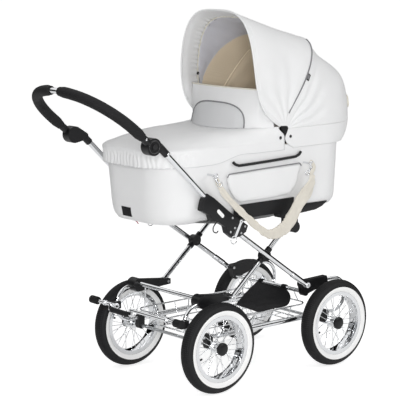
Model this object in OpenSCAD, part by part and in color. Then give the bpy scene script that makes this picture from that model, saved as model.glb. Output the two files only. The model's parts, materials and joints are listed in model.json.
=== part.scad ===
// Bassinet pram: a padded bassinet with a folding hood, on a crossed-tube folding frame
// with C-springs, wire wheels, a tyre brake and a swivelling push handle.
// Millimetres. +X points to the head end, +Y to the pram's left, +Z up.

/* [Wheels] */
// Outside diameter of the pneumatic tyre
tyre_od = 318; // [300:1:330]
// Width of the tyre
tyre_w = 54; // [46:1:58]
// Outside diameter of the rim flange
rim_od = 232; // [226:1:240]
// Thickness of the rolled rim
rim_wall = 3; // [2:0.5:4]
// Distance between the axles
wheelbase = 566; // [556:1:590]
// Clearance between the spring and the tyre
wheel_gap = 19.5; // [15:0.5:30]
// Axle diameter
axle_d = 12; // [10:0.5:14]
// Hub barrel diameter
hub_d = 30; // [26:1:36]
// Hub flange diameter
hub_flange_d = 42; // [38:1:48]
// Hub length
hub_len = 46; // [42:1:52]
// Hub cap diameter
cap_d = 45; // [40:1:56]
// Hub cap thickness
cap_t = 6; // [4:0.5:10]
// Number of spokes in a wheel
spoke_count = 28; // [20:4:36]
// Spoke wire diameter
spoke_d = 2.4; // [1.8:0.1:3]
// Valve stem diameter
valve_d = 8; // [6:0.5:10]
// Valve stem length inside the rim
valve_len = 28; // [20:1:36]

/* [Suspension] */
// Spring rod diameter
spring_d = 13; // [11:0.5:15]
// Radius of each C-shaped spring end
spring_r = 62; // [58:1:70]
// Height of the spring's lower run above the axles
spring_lift = 27; // [25:0.5:34]
// Reach of the C beyond the axle
spring_overhang = 45; // [35:1:55]
// Diameter of the sleeve on the lower run
sleeve_d = 20; // [18:0.5:24]
// Cross tube diameter
cross_d = 16; // [14:0.5:20]

/* [Frame] */
// Frame leg tube diameter
leg_d = 18; // [16:0.5:20]
// Tube wall thickness
tube_wall = 1.5; // [1:0.1:2.5]
// Gap between the two planes of legs
leg_gap = 6; // [5:0.5:10]
// Slope of the rear legs, which carry the handle
leg_a_deg = 34.8; // [34:0.1:36]
// Slope of the front legs
leg_b_deg = 40.5; // [40:0.1:42]
// Setback of the rear legs' foot pivot from the front axle
leg_a_inset = 116; // [110:1:122]
// Setback of the front legs' foot pivot from the rear axle
leg_b_inset = 110; // [104:1:116]
// Pivot pin diameter
pin_d = 10; // [8:0.5:12]
// Lock bracket plate thickness
bracket_t = 3; // [2:0.2:4]

/* [Handle] */
// Handle tube diameter
handle_d = 20; // [18:0.5:22]
// Gap between the bassinet and the handle tubes
handle_gap = 2; // [1.5:0.5:8]
// Slope of the handle tubes
handle_deg = 43.7; // [42:0.1:45]
// Length of the handle tubes
handle_len = 473; // [450:1:500]
// Swivel joint radius
knob_r = 29; // [26:1:34]
// Drop of the swivel axis below the handle tube's line
knob_drop = 24; // [20:1:28]
// Slope of the push bow
bow_deg = 39; // [30:1:48]
// Reach of the push bow from the swivel axis
bow_reach = 287; // [270:1:310]
// Radius of the bow's side bends
bow_bend_r = 185; // [160:1:195]
// Grip diameter
grip_d = 37; // [32:1:42]
// Bare length at the middle of the bow
grip_split = 50; // [30:1:80]
// Push button diameter
button_d = 20; // [16:0.5:24]
// Push button travel
button_travel = 3; // [2:0.5:4]

/* [Brake] */
// Brake bar diameter
brake_d = 12; // [10:0.5:14]
// Brake bar position behind the rear axle
brake_back = 169; // [164:1:176]
// Brake bar height above the axle
brake_up = 111; // [106:1:116]
// Diameter of the rubber stops
stop_d = 28; // [24:1:30]
// Diameter of the rubber pedal sleeve
pedal_d = 19; // [16:0.5:22]

/* [Bassinet] */
// Width of the tub at its rim
cot_w = 402; // [392:1:420]
// Foot end of the tub behind the middle of the wheelbase
cot_foot = 468; // [460:1:480]
// Head end of the tub ahead of the middle of the wheelbase
cot_head = 404; // [396:1:420]
// Height of the tub's underside
cot_floor_z = 592; // [586:1:606]
// Depth of the tub
cot_depth = 238; // [230:1:250]
// Corner radius of the tub
cot_corner_r = 132; // [110:1:150]
// Padded wall thickness
cot_wall = 8; // [6:0.5:12]
// Mattress thickness
mattress_t = 45; // [35:1:55]
// Height of the apron's opening above the rim
mouth_rise = 56; // [50:1:62]
// Reach of the apron's opening towards the foot
mouth_reach = 153; // [144:1:160]
// Drop of the apron's hem below the rim
apron_hem = 43; // [36:1:50]
// Reach of the carry handle below its pivots
carry_drop = 24; // [20:1:30]
// Carry handle rod diameter
carry_d = 10; // [8:0.5:12]
// Carry handle length
carry_len = 300; // [260:1:340]
// Side pocket thickness
pocket_t = 11; // [8:0.5:14]

/* [Hood] */
// Hood pivot ahead of the middle of the wheelbase
hood_x = 65; // [55:1:75]
// Hood pivot height above the rim
hood_up = 55; // [48:1:62]
// Height of the hood's front arch above its pivot
hood_rise = 415; // [390:1:430]
// Reach of the front arch behind the pivot
hood_reach = 148; // [130:1:160]
// Slope of the middle rib
hood_mid_deg = 57.5; // [53:0.5:61]
// Length of the middle rib from the pivot
hood_mid_r = 369; // [356:1:380]
// Reach of the hood's back ahead of the pivot
hood_back = 408; // [396:1:416]
// Hood cloth thickness
hood_t = 4; // [3:0.5:6]
// Rib wire diameter
rib_d = 8; // [6:0.5:9]
// Windshield flap height
flap_h = 141; // [128:1:148]
// Lean of the windshield flap, from its foot to its top edge at the middle
flap_back = 60; // [52:1:68]
// Windshield flap thickness
flap_t = 5; // [4:0.5:8]

/* [Basket] */
// Basket wire diameter
wire_d = 6; // [5:0.5:7]
// Basket rim length
basket_len = 532; // [520:1:540]
// Basket rim width
basket_w = 340; // [320:1:344]
// Basket depth
basket_depth = 52; // [44:1:54]

/* [Hidden] */
$fn = 48;
seat_gap = 0.3;
run_gap = 0.05;
hood_seam = 0.8;
eye_wall = 5;

// Side planes, from the bassinet outwards
half_cot = cot_w / 2;
handle_y = half_cot + handle_gap + handle_d / 2;
leg_a_y = handle_y;
leg_b_y = leg_a_y - leg_d - leg_gap;
spring_y = leg_b_y;
wheel_y = spring_y + spring_d / 2 + wheel_gap + tyre_w / 2;

// Wheels and springs
axle_z = tyre_od / 2;
axle_x = wheelbase / 2;
tyre_r = tyre_w / 2;
tyre_mid_r = axle_z - tyre_r;
rim_r = rim_od / 2;
rim_seat_r = rim_r - 10;
rim_half = sqrt(pow(tyre_r, 2) - pow(tyre_mid_r - rim_r, 2)) + 0.3;
rim_well_r = rim_seat_r - 2 * rim_wall;
spring_low_z = axle_z + spring_lift;
spring_mid_z = spring_low_z + spring_r;
spring_x = axle_x + spring_overhang;
pivot_z = spring_low_z + 2 * spring_r;
clamp_half = spring_d / 2 + 5;

// Frame pivots and legs, as [x, z]
front_pivot = [axle_x - leg_a_inset, pivot_z];
rear_pivot = [leg_b_inset - axle_x, pivot_z];
base_drop = 34;
foot_drop = 2;
foot_z = cot_floor_z - base_drop - foot_drop;
fold_drop = 8;
fold_z = foot_z - fold_drop;
leg_a_len = (fold_z - pivot_z) / sin(leg_a_deg);
leg_a_dir = [-cos(leg_a_deg), sin(leg_a_deg)];
leg_a_up = [sin(leg_a_deg), cos(leg_a_deg)];
fold_pivot = front_pivot + leg_a_len * leg_a_dir;
leg_b_len = (foot_z - pivot_z) / sin(leg_b_deg);
leg_b_dir = [cos(leg_b_deg), sin(leg_b_deg)];
leg_b_top = rear_pivot + leg_b_len * leg_b_dir;
cross_x = (tan(leg_a_deg) * front_pivot.x + tan(leg_b_deg) * rear_pivot.x)
    / (tan(leg_a_deg) + tan(leg_b_deg));
cross_at = [cross_x, pivot_z + tan(leg_b_deg) * (cross_x - rear_pivot.x)];
eye_r = pin_d / 2 + eye_wall;
block_in = leg_b_y - leg_d / 2 - 2;
front_block_in = spring_y - spring_d / 2 - 5;
front_block_out = spring_y + spring_d / 2 + 5;
rear_cross = [-axle_x - 27, pivot_z + 12];
front_cross = [front_pivot.x + 11, pivot_z - 31];
spring_end_rear = axle_x + 8;
spring_end_front = axle_x - 20;
sleeve_half = wheelbase / 2 - 45;

// Handle and push bow
handle_dir = [-cos(handle_deg), sin(handle_deg)];
handle_down = [-sin(handle_deg), -cos(handle_deg)];
handle_top = fold_pivot + handle_len * handle_dir;
knob = handle_top + knob_drop * handle_down + (knob_r - 2) * handle_dir;
housing_in = handle_y - handle_d / 2 - 3;
knob_in = handle_y + 2;
knob_out = knob_in + 21;
bow_y = knob_in + handle_d / 2 + 0.6;
bow_turn = 70;
bow_crown_r = (bow_y - bow_bend_r * (1 - cos(bow_turn))) / sin(90 - bow_turn);
bow_crown_rise = bow_crown_r * (1 - cos(90 - bow_turn));
bow_straight = bow_reach - bow_bend_r * sin(bow_turn) - bow_crown_rise;
grip_start = 55;
button_out = knob_out + button_travel + 1;
bracket_in = leg_a_y - handle_d / 2 - bracket_t - 0.2;
bracket_out = leg_a_y + handle_d / 2 + bracket_t + 0.2;
latch_t = 4;
latch_pin_d = 5;
latch_pivot = fold_pivot + [8, 36];
latch_len = 58;
latch_loop_r = 13;

// Brake
brake_at = [-axle_x - brake_back, axle_z + brake_up];
brake_pivot = [-spring_x - spring_r - spring_d / 2 - 7.5, spring_mid_z + 2];
brake_half = wheel_y + 4;
arm_y = spring_y - spring_d / 2 - 10;
pedal_from = 22;
pedal_to = 140;
pedal_drop = 17;

// Bassinet, rings as [x0, x1, half width, corner radius, z]
rim_z = cot_floor_z + cot_depth;
cot_rings = [
    [-cot_foot + 38, cot_head - 19, half_cot - 36, cot_corner_r - 32, cot_floor_z],
    [-cot_foot + 20, cot_head - 6, half_cot - 9, cot_corner_r - 7, cot_floor_z + 48],
    [-cot_foot, cot_head, half_cot, cot_corner_r, rim_z]
];
base_rings = [
    [fold_pivot.x + 15, leg_b_top.x - 15, 120, 40, cot_floor_z - base_drop],
    [-cot_foot + 68, cot_head - 104, half_cot - 23, cot_corner_r - 22, cot_floor_z]
];
foot_len = 36;
rear_foot_x = fold_pivot.x + 32;
front_foot_x = leg_b_top.x;
cot_flat = half_cot - cot_corner_r;
mouth_x = hood_x - 32;
mouth_lift = 7;
apron_w = half_cot + 1.6;
apron_over = 37;
apron_roll = 14;
apron_edge_z = rim_z + apron_roll;
apron_t = 4;
apron_skin = 1.1;
apron_lift = 24;
apron_swell = 8;
carry_z = cot_floor_z + 209;
carry_mid = -28;
carry_y = half_cot + carry_d / 2 + 0.4;
carry_ends = [carry_mid - carry_len / 2, carry_mid + carry_len / 2];
carry_lug = 14;
hook_x = [-292, 161];
hook_z = cot_floor_z + 165;
strap_y = bracket_out + latch_t + 2;
strap_t = 4;
hook_d = 7;

// Hood
hood_at = [hood_x, rim_z + hood_up];
hood_y = half_cot + hood_t;
hood_bow = 3.4;
hinge_t = 4;
hinge_y = half_cot - cot_wall - hinge_t - 1.2;
eye_t = 3;
hood_pin_d = 8;
skirt_t = hood_t - 1;
skirt_top = hood_at[1] + 1;
skirt_low = rim_z - 15;
skirt_lean = 40;
hood_swell = [6, -20, -8];
rib_inset = hood_t + rib_d / 2 + 1.8;
flap_turn = 60;
flap_bow = 20;
flap_half = hinge_y - 7.8;

// Stations across the hood, as [height share, side share], from the left foot over to the right
side_share = [0.03, 0.1, 0.18, 0.27, 0.37, 0.47, 0.57, 0.67, 0.76, 0.84];
top_share = [0.68, 0.54, 0.38, 0.2];
half_across = concat(
    [for (h = side_share) [h, pow(1 - pow(h, hood_bow), 1 / hood_bow)]],
    [for (y = top_share) [pow(1 - pow(y, hood_bow), 1 / hood_bow), y]]);
across = concat(half_across, [[1, 0]], [for (i = [13:-1:0]) [half_across[i][0], -half_across[i][1]]]);

// Basket
basket_z = axle_z + 69;
basket_x0 = -axle_x - 33;
basket_x1 = basket_x0 + basket_len;
basket_corner = 40;
basket_low_z = basket_z - basket_depth;
// Thinner wires of the basket's mesh, stepped so that crossing wires bite into each other
mesh_d = wire_d * 2 / 3;
mesh_step = 0.15 * wire_d;
hanger_d = wire_d - 1;

// Rearmost point of the pram, on the bow's grips
grip_cut = asin(grip_split / 2 / bow_crown_r);
grip_reach = bow_reach - bow_crown_r * (1 - cos(grip_cut));
rear_end = knob.x - grip_reach * cos(bow_deg)
    - grip_d / 2 * sqrt(1 - pow(cos(bow_deg) * sin(grip_cut), 2));

// Shared helpers

module placed() translate([-mid_x, 0, 0]) children();

module both_sides() {
    children();
    mirror([0, 1, 0]) children();
}

// Cylinder along Y at [x, z], from y0 to y1
module bar_y(at, y0, y1, d)
    translate([at[0], y0, at[1]]) rotate([-90, 0, 0]) cylinder(d = d, h = y1 - y0);

// Flat outline in [x, z], extruded from y0 to y1
module plate_y(y0, y1)
    translate([0, y1, 0]) rotate([90, 0, 0]) linear_extrude(y1 - y0) children();

// Round rod from p to q
module rod(p, q, d) {
    v = q - p;
    translate(p)
        rotate([0, acos(v.z / norm(v)), atan2(v.y, v.x)])
            cylinder(d = d, h = norm(v));
}

// Round tube from p to q
module pipe(p, q, d, wall) {
    u = (q - p) / norm(q - p);
    difference() {
        rod(p, q, d);
        rod(p - u, q + u, d - 2 * wall);
    }
}

// Point in space from an [x, z] pair and a side plane
function at_y(p, y) = [p[0], y, p[1]];

// Rounded rectangle ring for a hull: four posts of a thin slab
module ring_slab(r, inset = 0, t = 0.2) {
    c = max(r[3] - inset, 5);
    for (x = [r[0] + inset + c, r[1] - inset - c], y = [-1, 1])
        translate([x, y * (r[2] - inset - c), r[4]]) cylinder(r = c, h = t, $fn = 32);
}

// Closed sheet between an outer and an inner grid of points
module sheet(outer, inner) {
    n = len(outer);
    m = len(outer[0]);
    pts = concat([for (row = outer) each row], [for (row = inner) each row]);
    k = n * m;
    top = [for (i = [0:n - 2], j = [0:m - 2]) each [
        [i * m + j, i * m + j + 1, (i + 1) * m + j + 1],
        [i * m + j, (i + 1) * m + j + 1, (i + 1) * m + j]]];
    low = [for (f = top) [f[0] + k, f[2] + k, f[1] + k]];
    edge = concat(
        [for (j = [0:m - 2]) [j, j + 1]],
        [for (i = [0:n - 2]) [i * m + m - 1, (i + 1) * m + m - 1]],
        [for (j = [m - 1:-1:1]) [(n - 1) * m + j, (n - 1) * m + j - 1]],
        [for (i = [n - 1:-1:1]) [i * m, (i - 1) * m]]);
    side = [for (e = edge) each [[e[1], e[0], e[0] + k], [e[1], e[0] + k, e[1] + k]]];
    polyhedron(pts, concat(top, low, side));
}

// Rings of points round a path; ref is never along the path
function skin(path, d, sides, ref) = [for (i = [0:len(path) - 1]) let (
        v = path[min(i + 1, len(path) - 1)] - path[max(i - 1, 0)],
        t = v / norm(v),
        u = cross(t, ref) / norm(cross(t, ref)),
        w = cross(u, t))
    each [for (k = [0:sides - 1]) let (a = 360 * k / sides)
        path[i] + d / 2 * (cos(a) * u + sin(a) * w)]];

// Round rod through a list of points, or a tube where an inner diameter is given
module swept(path, d, sides, ref, inner = 0) {
    n = len(path);
    c = n * sides;
    wall = [for (i = [0:n - 2], k = [0:sides - 1]) let (m = (k + 1) % sides) each [
        [i * sides + k, i * sides + m, (i + 1) * sides + m],
        [i * sides + k, (i + 1) * sides + m, (i + 1) * sides + k]]];
    o = (n - 1) * sides;
    if (inner > 0) {
        ends = [for (k = [0:sides - 1]) let (m = (k + 1) % sides) each [
            [m, k, k + c], [m, k + c, m + c],
            [o + k, o + m, o + m + c], [o + k, o + m + c, o + k + c]]];
        polyhedron(concat(skin(path, d, sides, ref), skin(path, inner, sides, ref)),
            concat(wall, [for (f = wall) [f[0] + c, f[2] + c, f[1] + c]], ends));
    } else {
        ends = [for (k = [1:sides - 2]) each [[0, k + 1, k], [o, o + k, o + k + 1]]];
        polyhedron(skin(path, d, sides, ref), concat(wall, ends));
    }
}

function mix(a, b, t) = a + (b - a) * t;

// Signed power, for rounded-rectangle curves
function spow(v, p) = sign(v) * pow(abs(v), p);

// Wheels

module at_wheel(x, side) translate([x, side * wheel_y, axle_z]) rotate([-90 * side, 0, 0]) children();

module tyre(x, side) color("#1c1c1e") at_wheel(x, side) {
    rotate_extrude() difference() {
        translate([tyre_mid_r, 0]) circle(r = tyre_r);
        translate([0, -tyre_w]) square([rim_seat_r, 2 * tyre_w]);
        for (s = [-1, 1])
            translate([0, s > 0 ? rim_half - rim_wall : -rim_half]) square([rim_r, rim_wall]);
    }
    rotate([0, 0, 200]) rod([rim_seat_r + 1, 0, 0], [rim_seat_r - valve_len, 0, 0], valve_d);
}

module rim(x, side) color("#d9dadc") at_wheel(x, side) difference() {
    rotate_extrude() polygon([
        [rim_r, rim_half], [rim_r, rim_half - rim_wall], [rim_seat_r, rim_half - rim_wall],
        [rim_seat_r, rim_wall - rim_half], [rim_r, rim_wall - rim_half], [rim_r, -rim_half],
        [rim_seat_r - rim_wall, -rim_half], [rim_well_r, -rim_half / 2],
        [rim_well_r, rim_half / 2], [rim_seat_r - rim_wall, rim_half]]);
    rotate([0, 0, 200]) rod([rim_r, 0, 0], [rim_well_r - 5, 0, 0], valve_d + 0.2);
}

module spoked_hub(x, side) color("#d9dadc") at_wheel(x, side) {
    flange_z = hub_len / 2 - 6;
    step = 360 / spoke_count;
    difference() {
        union() {
            translate([0, 0, -hub_len / 2]) cylinder(d = hub_d, h = hub_len);
            for (s = [-1, 1]) translate([0, 0, s * flange_z - 1.5]) cylinder(d = hub_flange_d, h = 3);
        }
        translate([0, 0, -hub_len]) cylinder(d = axle_d + 2 * run_gap, h = 2 * hub_len);
    }
    for (i = [0:spoke_count - 1]) {
        s = i % 2 == 0 ? 1 : -1;
        lead = (i % 4 < 2 ? 1 : -1) * 2.2 * step;
        a0 = i * step + lead;
        r0 = hub_flange_d / 2 - 2;
        r1 = rim_well_r - seat_gap - spoke_d / 4;
        rod([r0 * cos(a0), r0 * sin(a0), s * flange_z],
            [r1 * cos(i * step), r1 * sin(i * step), s * 3], spoke_d);
    }
}

module hub_cap(x, side) color("#202022") at_wheel(x, side) translate([0, 0, hub_len / 2])
    rotate_extrude() polygon([
        [0, 0.5], [cap_d / 2 - 3, 0.5], [cap_d / 2 - 3, -4], [cap_d / 2, -4],
        [cap_d / 2, cap_t / 2], [cap_d / 2 - 5, cap_t], [0, cap_t]]);

// Undercarriage

module spring_bend(d) rotate([90, 0, 0])
    rotate_extrude(angle = 180) translate([spring_r, 0]) circle(d = d);

module c_springs() color("#cfd1d4") both_sides() translate([0, spring_y, 0]) {
    rod([-spring_x, 0, spring_low_z], [spring_x, 0, spring_low_z], spring_d);
    rod([-sleeve_half, 0, spring_low_z], [sleeve_half, 0, spring_low_z], sleeve_d);
    for (s = [-1, 1]) {
        translate([s * spring_x, 0, spring_mid_z]) rotate([0, s * 90, 0]) spring_bend(spring_d);
    }
    rod([-spring_x, 0, pivot_z], [-spring_end_rear, 0, pivot_z], spring_d);
    rod([spring_x, 0, pivot_z], [spring_end_front, 0, pivot_z], spring_d);
}

module axles() color("#b9bbbe") for (s = [-1, 1])
    bar_y([s * axle_x, axle_z], -wheel_y - hub_len / 2, wheel_y + hub_len / 2, axle_d);

module axle_clamps() color("#232325") both_sides() for (s = [-1, 1]) difference() {
    plate_y(spring_y - clamp_half, spring_y + clamp_half) translate([s * axle_x, 0]) {
        translate([0, axle_z]) circle(r = axle_d / 2 + 7);
        translate([0, spring_low_z]) circle(r = spring_d / 2 + 7);
        translate([-axle_d / 2 - 7, axle_z]) square([axle_d + 14, spring_lift]);
    }
    bar_y([s * axle_x, axle_z], 0, wheel_y, axle_d);
    rod([-spring_x, spring_y, spring_low_z], [spring_x, spring_y, spring_low_z], spring_d);
}

// Block at the rear: housing on the spring's end and a cheek that carries the front legs' pivot
module rear_blocks() color("#232325") both_sides() difference() {
    union() {
        plate_y(block_in - 20, spring_y + clamp_half) translate([rear_cross[0], pivot_z + 6])
            circle(r = 24);
        plate_y(block_in - 20, block_in - 1) polygon([
            [rear_cross[0], pivot_z - 18], [rear_cross[0], pivot_z + 28],
            [rear_pivot.x + eye_r, pivot_z + eye_r], [rear_pivot.x + eye_r, pivot_z - eye_r]]);
    }
    rod([-spring_x, spring_y, pivot_z], [-spring_end_rear, spring_y, pivot_z], spring_d);
    translate([-spring_x, spring_y, spring_mid_z]) rotate([0, -90, 0]) spring_bend(spring_d);
    bar_y(rear_pivot, 0, wheel_y, pin_d);
    bar_y(rear_cross, 0, block_in - 6, cross_d);
}

module front_blocks() color("#232325") both_sides() difference() {
    plate_y(front_block_in, front_block_out) {
        translate(front_pivot) circle(r = eye_r + 3);
        translate(front_cross) circle(r = cross_d / 2 + 6);
        polygon([
            front_pivot + [-eye_r, -6], front_pivot + [-4, eye_r + 3],
            [axle_x + 2, pivot_z + 16], [axle_x + 8, pivot_z - 12],
            front_cross + [cross_d / 2 + 4, -6], front_cross + [-cross_d / 2 - 4, -4]]);
    }
    rod([spring_end_front, spring_y, pivot_z], [spring_x, spring_y, pivot_z], spring_d);
    bar_y(front_pivot, 0, wheel_y, pin_d);
    bar_y(front_cross, 0, front_block_in + 14, cross_d);
}

module cross_tubes() color("#cfd1d4") {
    rear_half = block_in - 6;
    front_half = front_block_in + 14;
    pipe(at_y(rear_cross, -rear_half), at_y(rear_cross, rear_half), cross_d, tube_wall);
    pipe(at_y(front_cross, -front_half), at_y(front_cross, front_half), cross_d, tube_wall);
}

module pivot_pins() color("#9a9ca0") both_sides() {
    bar_y(front_pivot, front_block_in, leg_a_y + leg_d / 2 + 3, pin_d);
    bar_y(rear_pivot, block_in - 20, leg_b_y + leg_d / 2 + 3, pin_d);
}

module brake_clips() color("#232325") both_sides() {
    difference() {
        translate([brake_pivot[0] - 8, spring_y - clamp_half, brake_pivot[1] - 13])
            cube([8 + 7.5 + spring_d + 6, 2 * clamp_half, 26]);
        translate([-spring_x, spring_y, spring_mid_z]) rotate([0, -90, 0]) spring_bend(spring_d);
    }
    bar_y(brake_pivot, arm_y - 6, spring_y, pin_d - 2);
}

// Rectangular wire loop with rounded corners
module wire_loop(x0, x1, half, r, z) {
    for (y = [-half, half]) rod([x0 + r, y, z], [x1 - r, y, z], wire_d);
    for (x = [x0, x1]) rod([x, -half + r, z], [x, half - r, z], wire_d);
    for (c = [[x1 - r, half - r, 0], [x0 + r, half - r, 90],
              [x0 + r, r - half, 180], [x1 - r, r - half, 270]])
        translate([c[0], c[1], z]) rotate([0, 0, c[2]])
            rotate_extrude(angle = 90) translate([r, 0]) circle(d = wire_d);
}

module basket_frame() color("#c6c8cb") {
    half = basket_w / 2;
    low_half = half - 22;
    hang_y = half - 50;
    wire_loop(basket_x0, basket_x1, half, basket_corner, basket_z);
    wire_loop(basket_x0 + 40, basket_x1 - 30, low_half, basket_corner - 10, basket_low_z);
    for (x = [basket_x0 + 90 : 90 : basket_x1 - 60], s = [-1, 1])
        rod([x, s * half, basket_z], [x, s * low_half, basket_low_z], mesh_d);
    for (x = [basket_x0 + 97 : 90 : basket_x1 - 53])
        rod([x, -low_half, basket_low_z - mesh_step], [x, low_half, basket_low_z - mesh_step], mesh_d);
    for (y = [-70, 0, 70])
        rod([basket_x0 + 40, y, basket_low_z + mesh_step],
            [basket_x1 - 30, y, basket_low_z + mesh_step], mesh_d);
    for (s = [-1, 1]) {
        rod([basket_x0, s * hang_y, basket_z],
            at_y(rear_cross - [2, cross_d / 2 + 2 * seat_gap], s * hang_y), hanger_d);
        rod([basket_x1, s * hang_y, basket_z],
            at_y(front_cross + [cross_d / 2 + hanger_d / 2 + seat_gap, 0], s * hang_y), hanger_d);
    }
}

module basket_cover() color("#17171a") {
    cloth = [0, 3.5];
    low = [front_cross[0] - 250, basket_z + wire_d / 2 + seat_gap];
    high = front_cross + [-cross_d / 2 - seat_gap, -2];
    middle = [high[0] - 50, low[1] + 26];
    plate_y(-basket_w / 2 - 2, basket_w / 2 + 2)
        polygon([low, middle, high, high + cloth, middle + cloth, low + cloth]);
}

// Crossed legs

module rear_legs() color("#cfd1d4") both_sides() {
    foot = at_y(front_pivot, leg_a_y);
    along = at_y(leg_a_dir, 0);
    difference() {
        union() {
            bar_y(front_pivot, front_block_out + seat_gap, leg_a_y + leg_d / 2 + 1, 2 * eye_r);
            rod(foot + 6 * along, foot + (leg_a_len - 30) * along, leg_d);
            rod(foot + 30 * along, foot + 90 * along, leg_d + 3);
        }
        bar_y(front_pivot, 0, wheel_y, pin_d + 2 * run_gap);
        rod(foot + 20 * along, foot + leg_a_len * along, leg_d - 2 * tube_wall);
    }
}

module lock_brackets() color("#232325") both_sides() {
    low = fold_pivot - 58 * leg_a_dir;
    high = fold_pivot + 105 * handle_dir;
    difference() {
        for (y = [[bracket_in, bracket_in + bracket_t], [bracket_out - bracket_t, bracket_out]])
            plate_y(y[0], y[1]) {
                translate(low) circle(r = 31);
                translate(fold_pivot) circle(r = 30);
                translate(high) circle(r = 20);
                translate(latch_pivot) circle(r = 13);
                polygon([low + 28 * leg_a_up, fold_pivot + 26 * leg_a_up,
                         fold_pivot - 26 * leg_a_up, low - 28 * leg_a_up]);
                polygon([fold_pivot + 26 * handle_down, high + 19 * handle_down - 6 * handle_dir,
                         high + 34 * handle_down + 4 * handle_dir, high + 14 * handle_down + 26 * handle_dir,
                         high - 17 * handle_down, fold_pivot - 26 * handle_down]);
            }
        bar_y(fold_pivot, 0, wheel_y, pin_d);
    }
    bar_y(latch_pivot, bracket_out - 1, bracket_out + latch_t + 1, latch_pin_d);
    difference() {
        bar_y(low, bracket_in, bracket_out, 50);
        rod(at_y(fold_pivot, leg_a_y), at_y(front_pivot, leg_a_y), leg_d);
    }
    bar_y(fold_pivot, bracket_in, bracket_out, pin_d);
    translate([rear_foot_x - foot_len / 2, half_cot - 50, foot_z - 26])
        cube([foot_len, bracket_in - half_cot + 50 + 0.5, 26 - seat_gap]);
}

module front_legs() color("#cfd1d4") both_sides() {
    foot = at_y(rear_pivot, leg_b_y);
    along = at_y(leg_b_dir, 0);
    difference() {
        union() {
            bar_y(rear_pivot, block_in, leg_b_y + leg_d / 2 + 1, 2 * eye_r);
            rod(foot + 6 * along, foot + (leg_b_len - 14) * along, leg_d);
        }
        bar_y(rear_pivot, 0, wheel_y, pin_d + 2 * run_gap);
        rod(foot + 20 * along, foot + leg_b_len * along, leg_d - 2 * tube_wall);
    }
}

module crossing_blocks() color("#232325") both_sides() difference() {
    union() {
        bar_y(cross_at, leg_b_y - leg_d / 2 - 3, leg_a_y - leg_d / 2 - 0.6, leg_d + 22);
        rod(at_y(cross_at - 34 * leg_b_dir, leg_b_y), at_y(cross_at + 34 * leg_b_dir, leg_b_y), leg_d + 5);
    }
    rod(at_y(rear_pivot, leg_b_y), at_y(leg_b_top, leg_b_y), leg_d);
}

module cot_clamps() color("#232325") both_sides() difference() {
    union() {
        translate([front_foot_x - foot_len / 2, half_cot - 50, foot_z - 30])
            cube([foot_len, leg_b_y + leg_d / 2 + 3 - half_cot + 50, 30 - seat_gap]);
        plate_y(leg_b_y - leg_d / 2 - 3, leg_b_y + leg_d / 2 + 3)
            translate([front_foot_x + 8, foot_z - 30]) circle(r = 20);
    }
    rod(at_y(rear_pivot, leg_b_y), at_y(leg_b_top - 14 * leg_b_dir, leg_b_y), leg_d);
}

// Handle

module handle_tubes() color("#cfd1d4") both_sides() {
    foot = at_y(fold_pivot, handle_y);
    along = at_y(handle_dir, 0);
    difference() {
        union() {
            bar_y(fold_pivot, handle_y - handle_d / 2, handle_y + handle_d / 2, 2 * eye_r);
            rod(foot + 6 * along, foot + handle_len * along, handle_d);
        }
        bar_y(fold_pivot, 0, wheel_y, pin_d + 2 * run_gap);
        rod(foot + 22 * along, foot + (handle_len + 5) * along, handle_d - 2 * tube_wall);
    }
}

module joint_housings() color("#232325") both_sides() {
    end = at_y(handle_top, handle_y);
    along = at_y(handle_dir, 0);
    difference() {
        union() {
            plate_y(housing_in, knob_in - 0.4) hull() {
                translate(knob) circle(r = knob_r, $fn = 40);
                translate(handle_top - 10 * handle_dir) circle(r = handle_d / 2 + 3, $fn = 32);
            }
            rod(end - 45 * along, end - 2 * along, handle_d + 6);
        }
        rod(end - handle_len * along, end, handle_d);
    }
    bar_y(knob, housing_in, knob_out - 6, pin_d + 2);
}

// Places children on the bow's plane: local X reaches out along the bow, local Y stays across
module on_bow() translate([knob[0], 0, knob[1]]) rotate([0, bow_deg, 0]) mirror([1, 0, 0]) children();

// Line of the bow as [reach, side], from the left swivel to the end of the left grip
half_bow = concat(
    [[knob_r - 4, bow_y], [grip_start, bow_y], [bow_straight, bow_y]],
    [for (i = [1:7]) let (a = 90 - bow_turn * i / 7)
        [bow_straight + bow_bend_r * cos(a), bow_y - bow_bend_r * (1 - sin(a))]],
    [for (i = [1:3]) let (a = mix(90 - bow_turn, grip_cut, i / 3))
        [bow_reach - bow_crown_r * (1 - cos(a)), bow_crown_r * sin(a)]]);

// The whole bow in space, left to right
other_bow = [for (i = [12:-1:0]) [half_bow[i][0], -half_bow[i][1]]];
bow_line = [for (p = concat(half_bow, [[bow_reach, 0]], other_bow))
    [knob[0] - p[0] * cos(bow_deg), p[1], knob[1] + p[0] * sin(bow_deg)]];
bow_normal = [sin(bow_deg), 0, cos(bow_deg)];

module push_bow() color("#cfd1d4") swept(bow_line, handle_d, 16, bow_normal, handle_d - 2 * tube_wall);

module grip(side) color("#1b1b1d") swept(
    [for (i = side > 0 ? [1:12] : [14:25]) bow_line[i]], grip_d, 16, bow_normal, handle_d + seat_gap);

module swivel_knobs() color("#232325") difference() {
    both_sides() {
        bar_y(knob, knob_in - 1, knob_out, 2 * knob_r);
        on_bow() translate([knob_r - 8, bow_y, 0]) rotate([0, 90, 0])
            cylinder(d = handle_d + 6, h = grip_start - knob_r + 6);
    }
    both_sides() {
        bar_y(knob, housing_in, knob_in, 2 * knob_r + 2);
        bar_y(knob, knob_in - 1, knob_out - 5.5, pin_d + 2 + 2 * run_gap);
        bar_y(knob, knob_out - 5.5, knob_out + 1, button_d + 0.6);
    }
    on_bow() both_sides() translate([knob_r - 4, bow_y, 0]) rotate([0, 90, 0])
        cylinder(d = handle_d, h = bow_straight);
}

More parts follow.
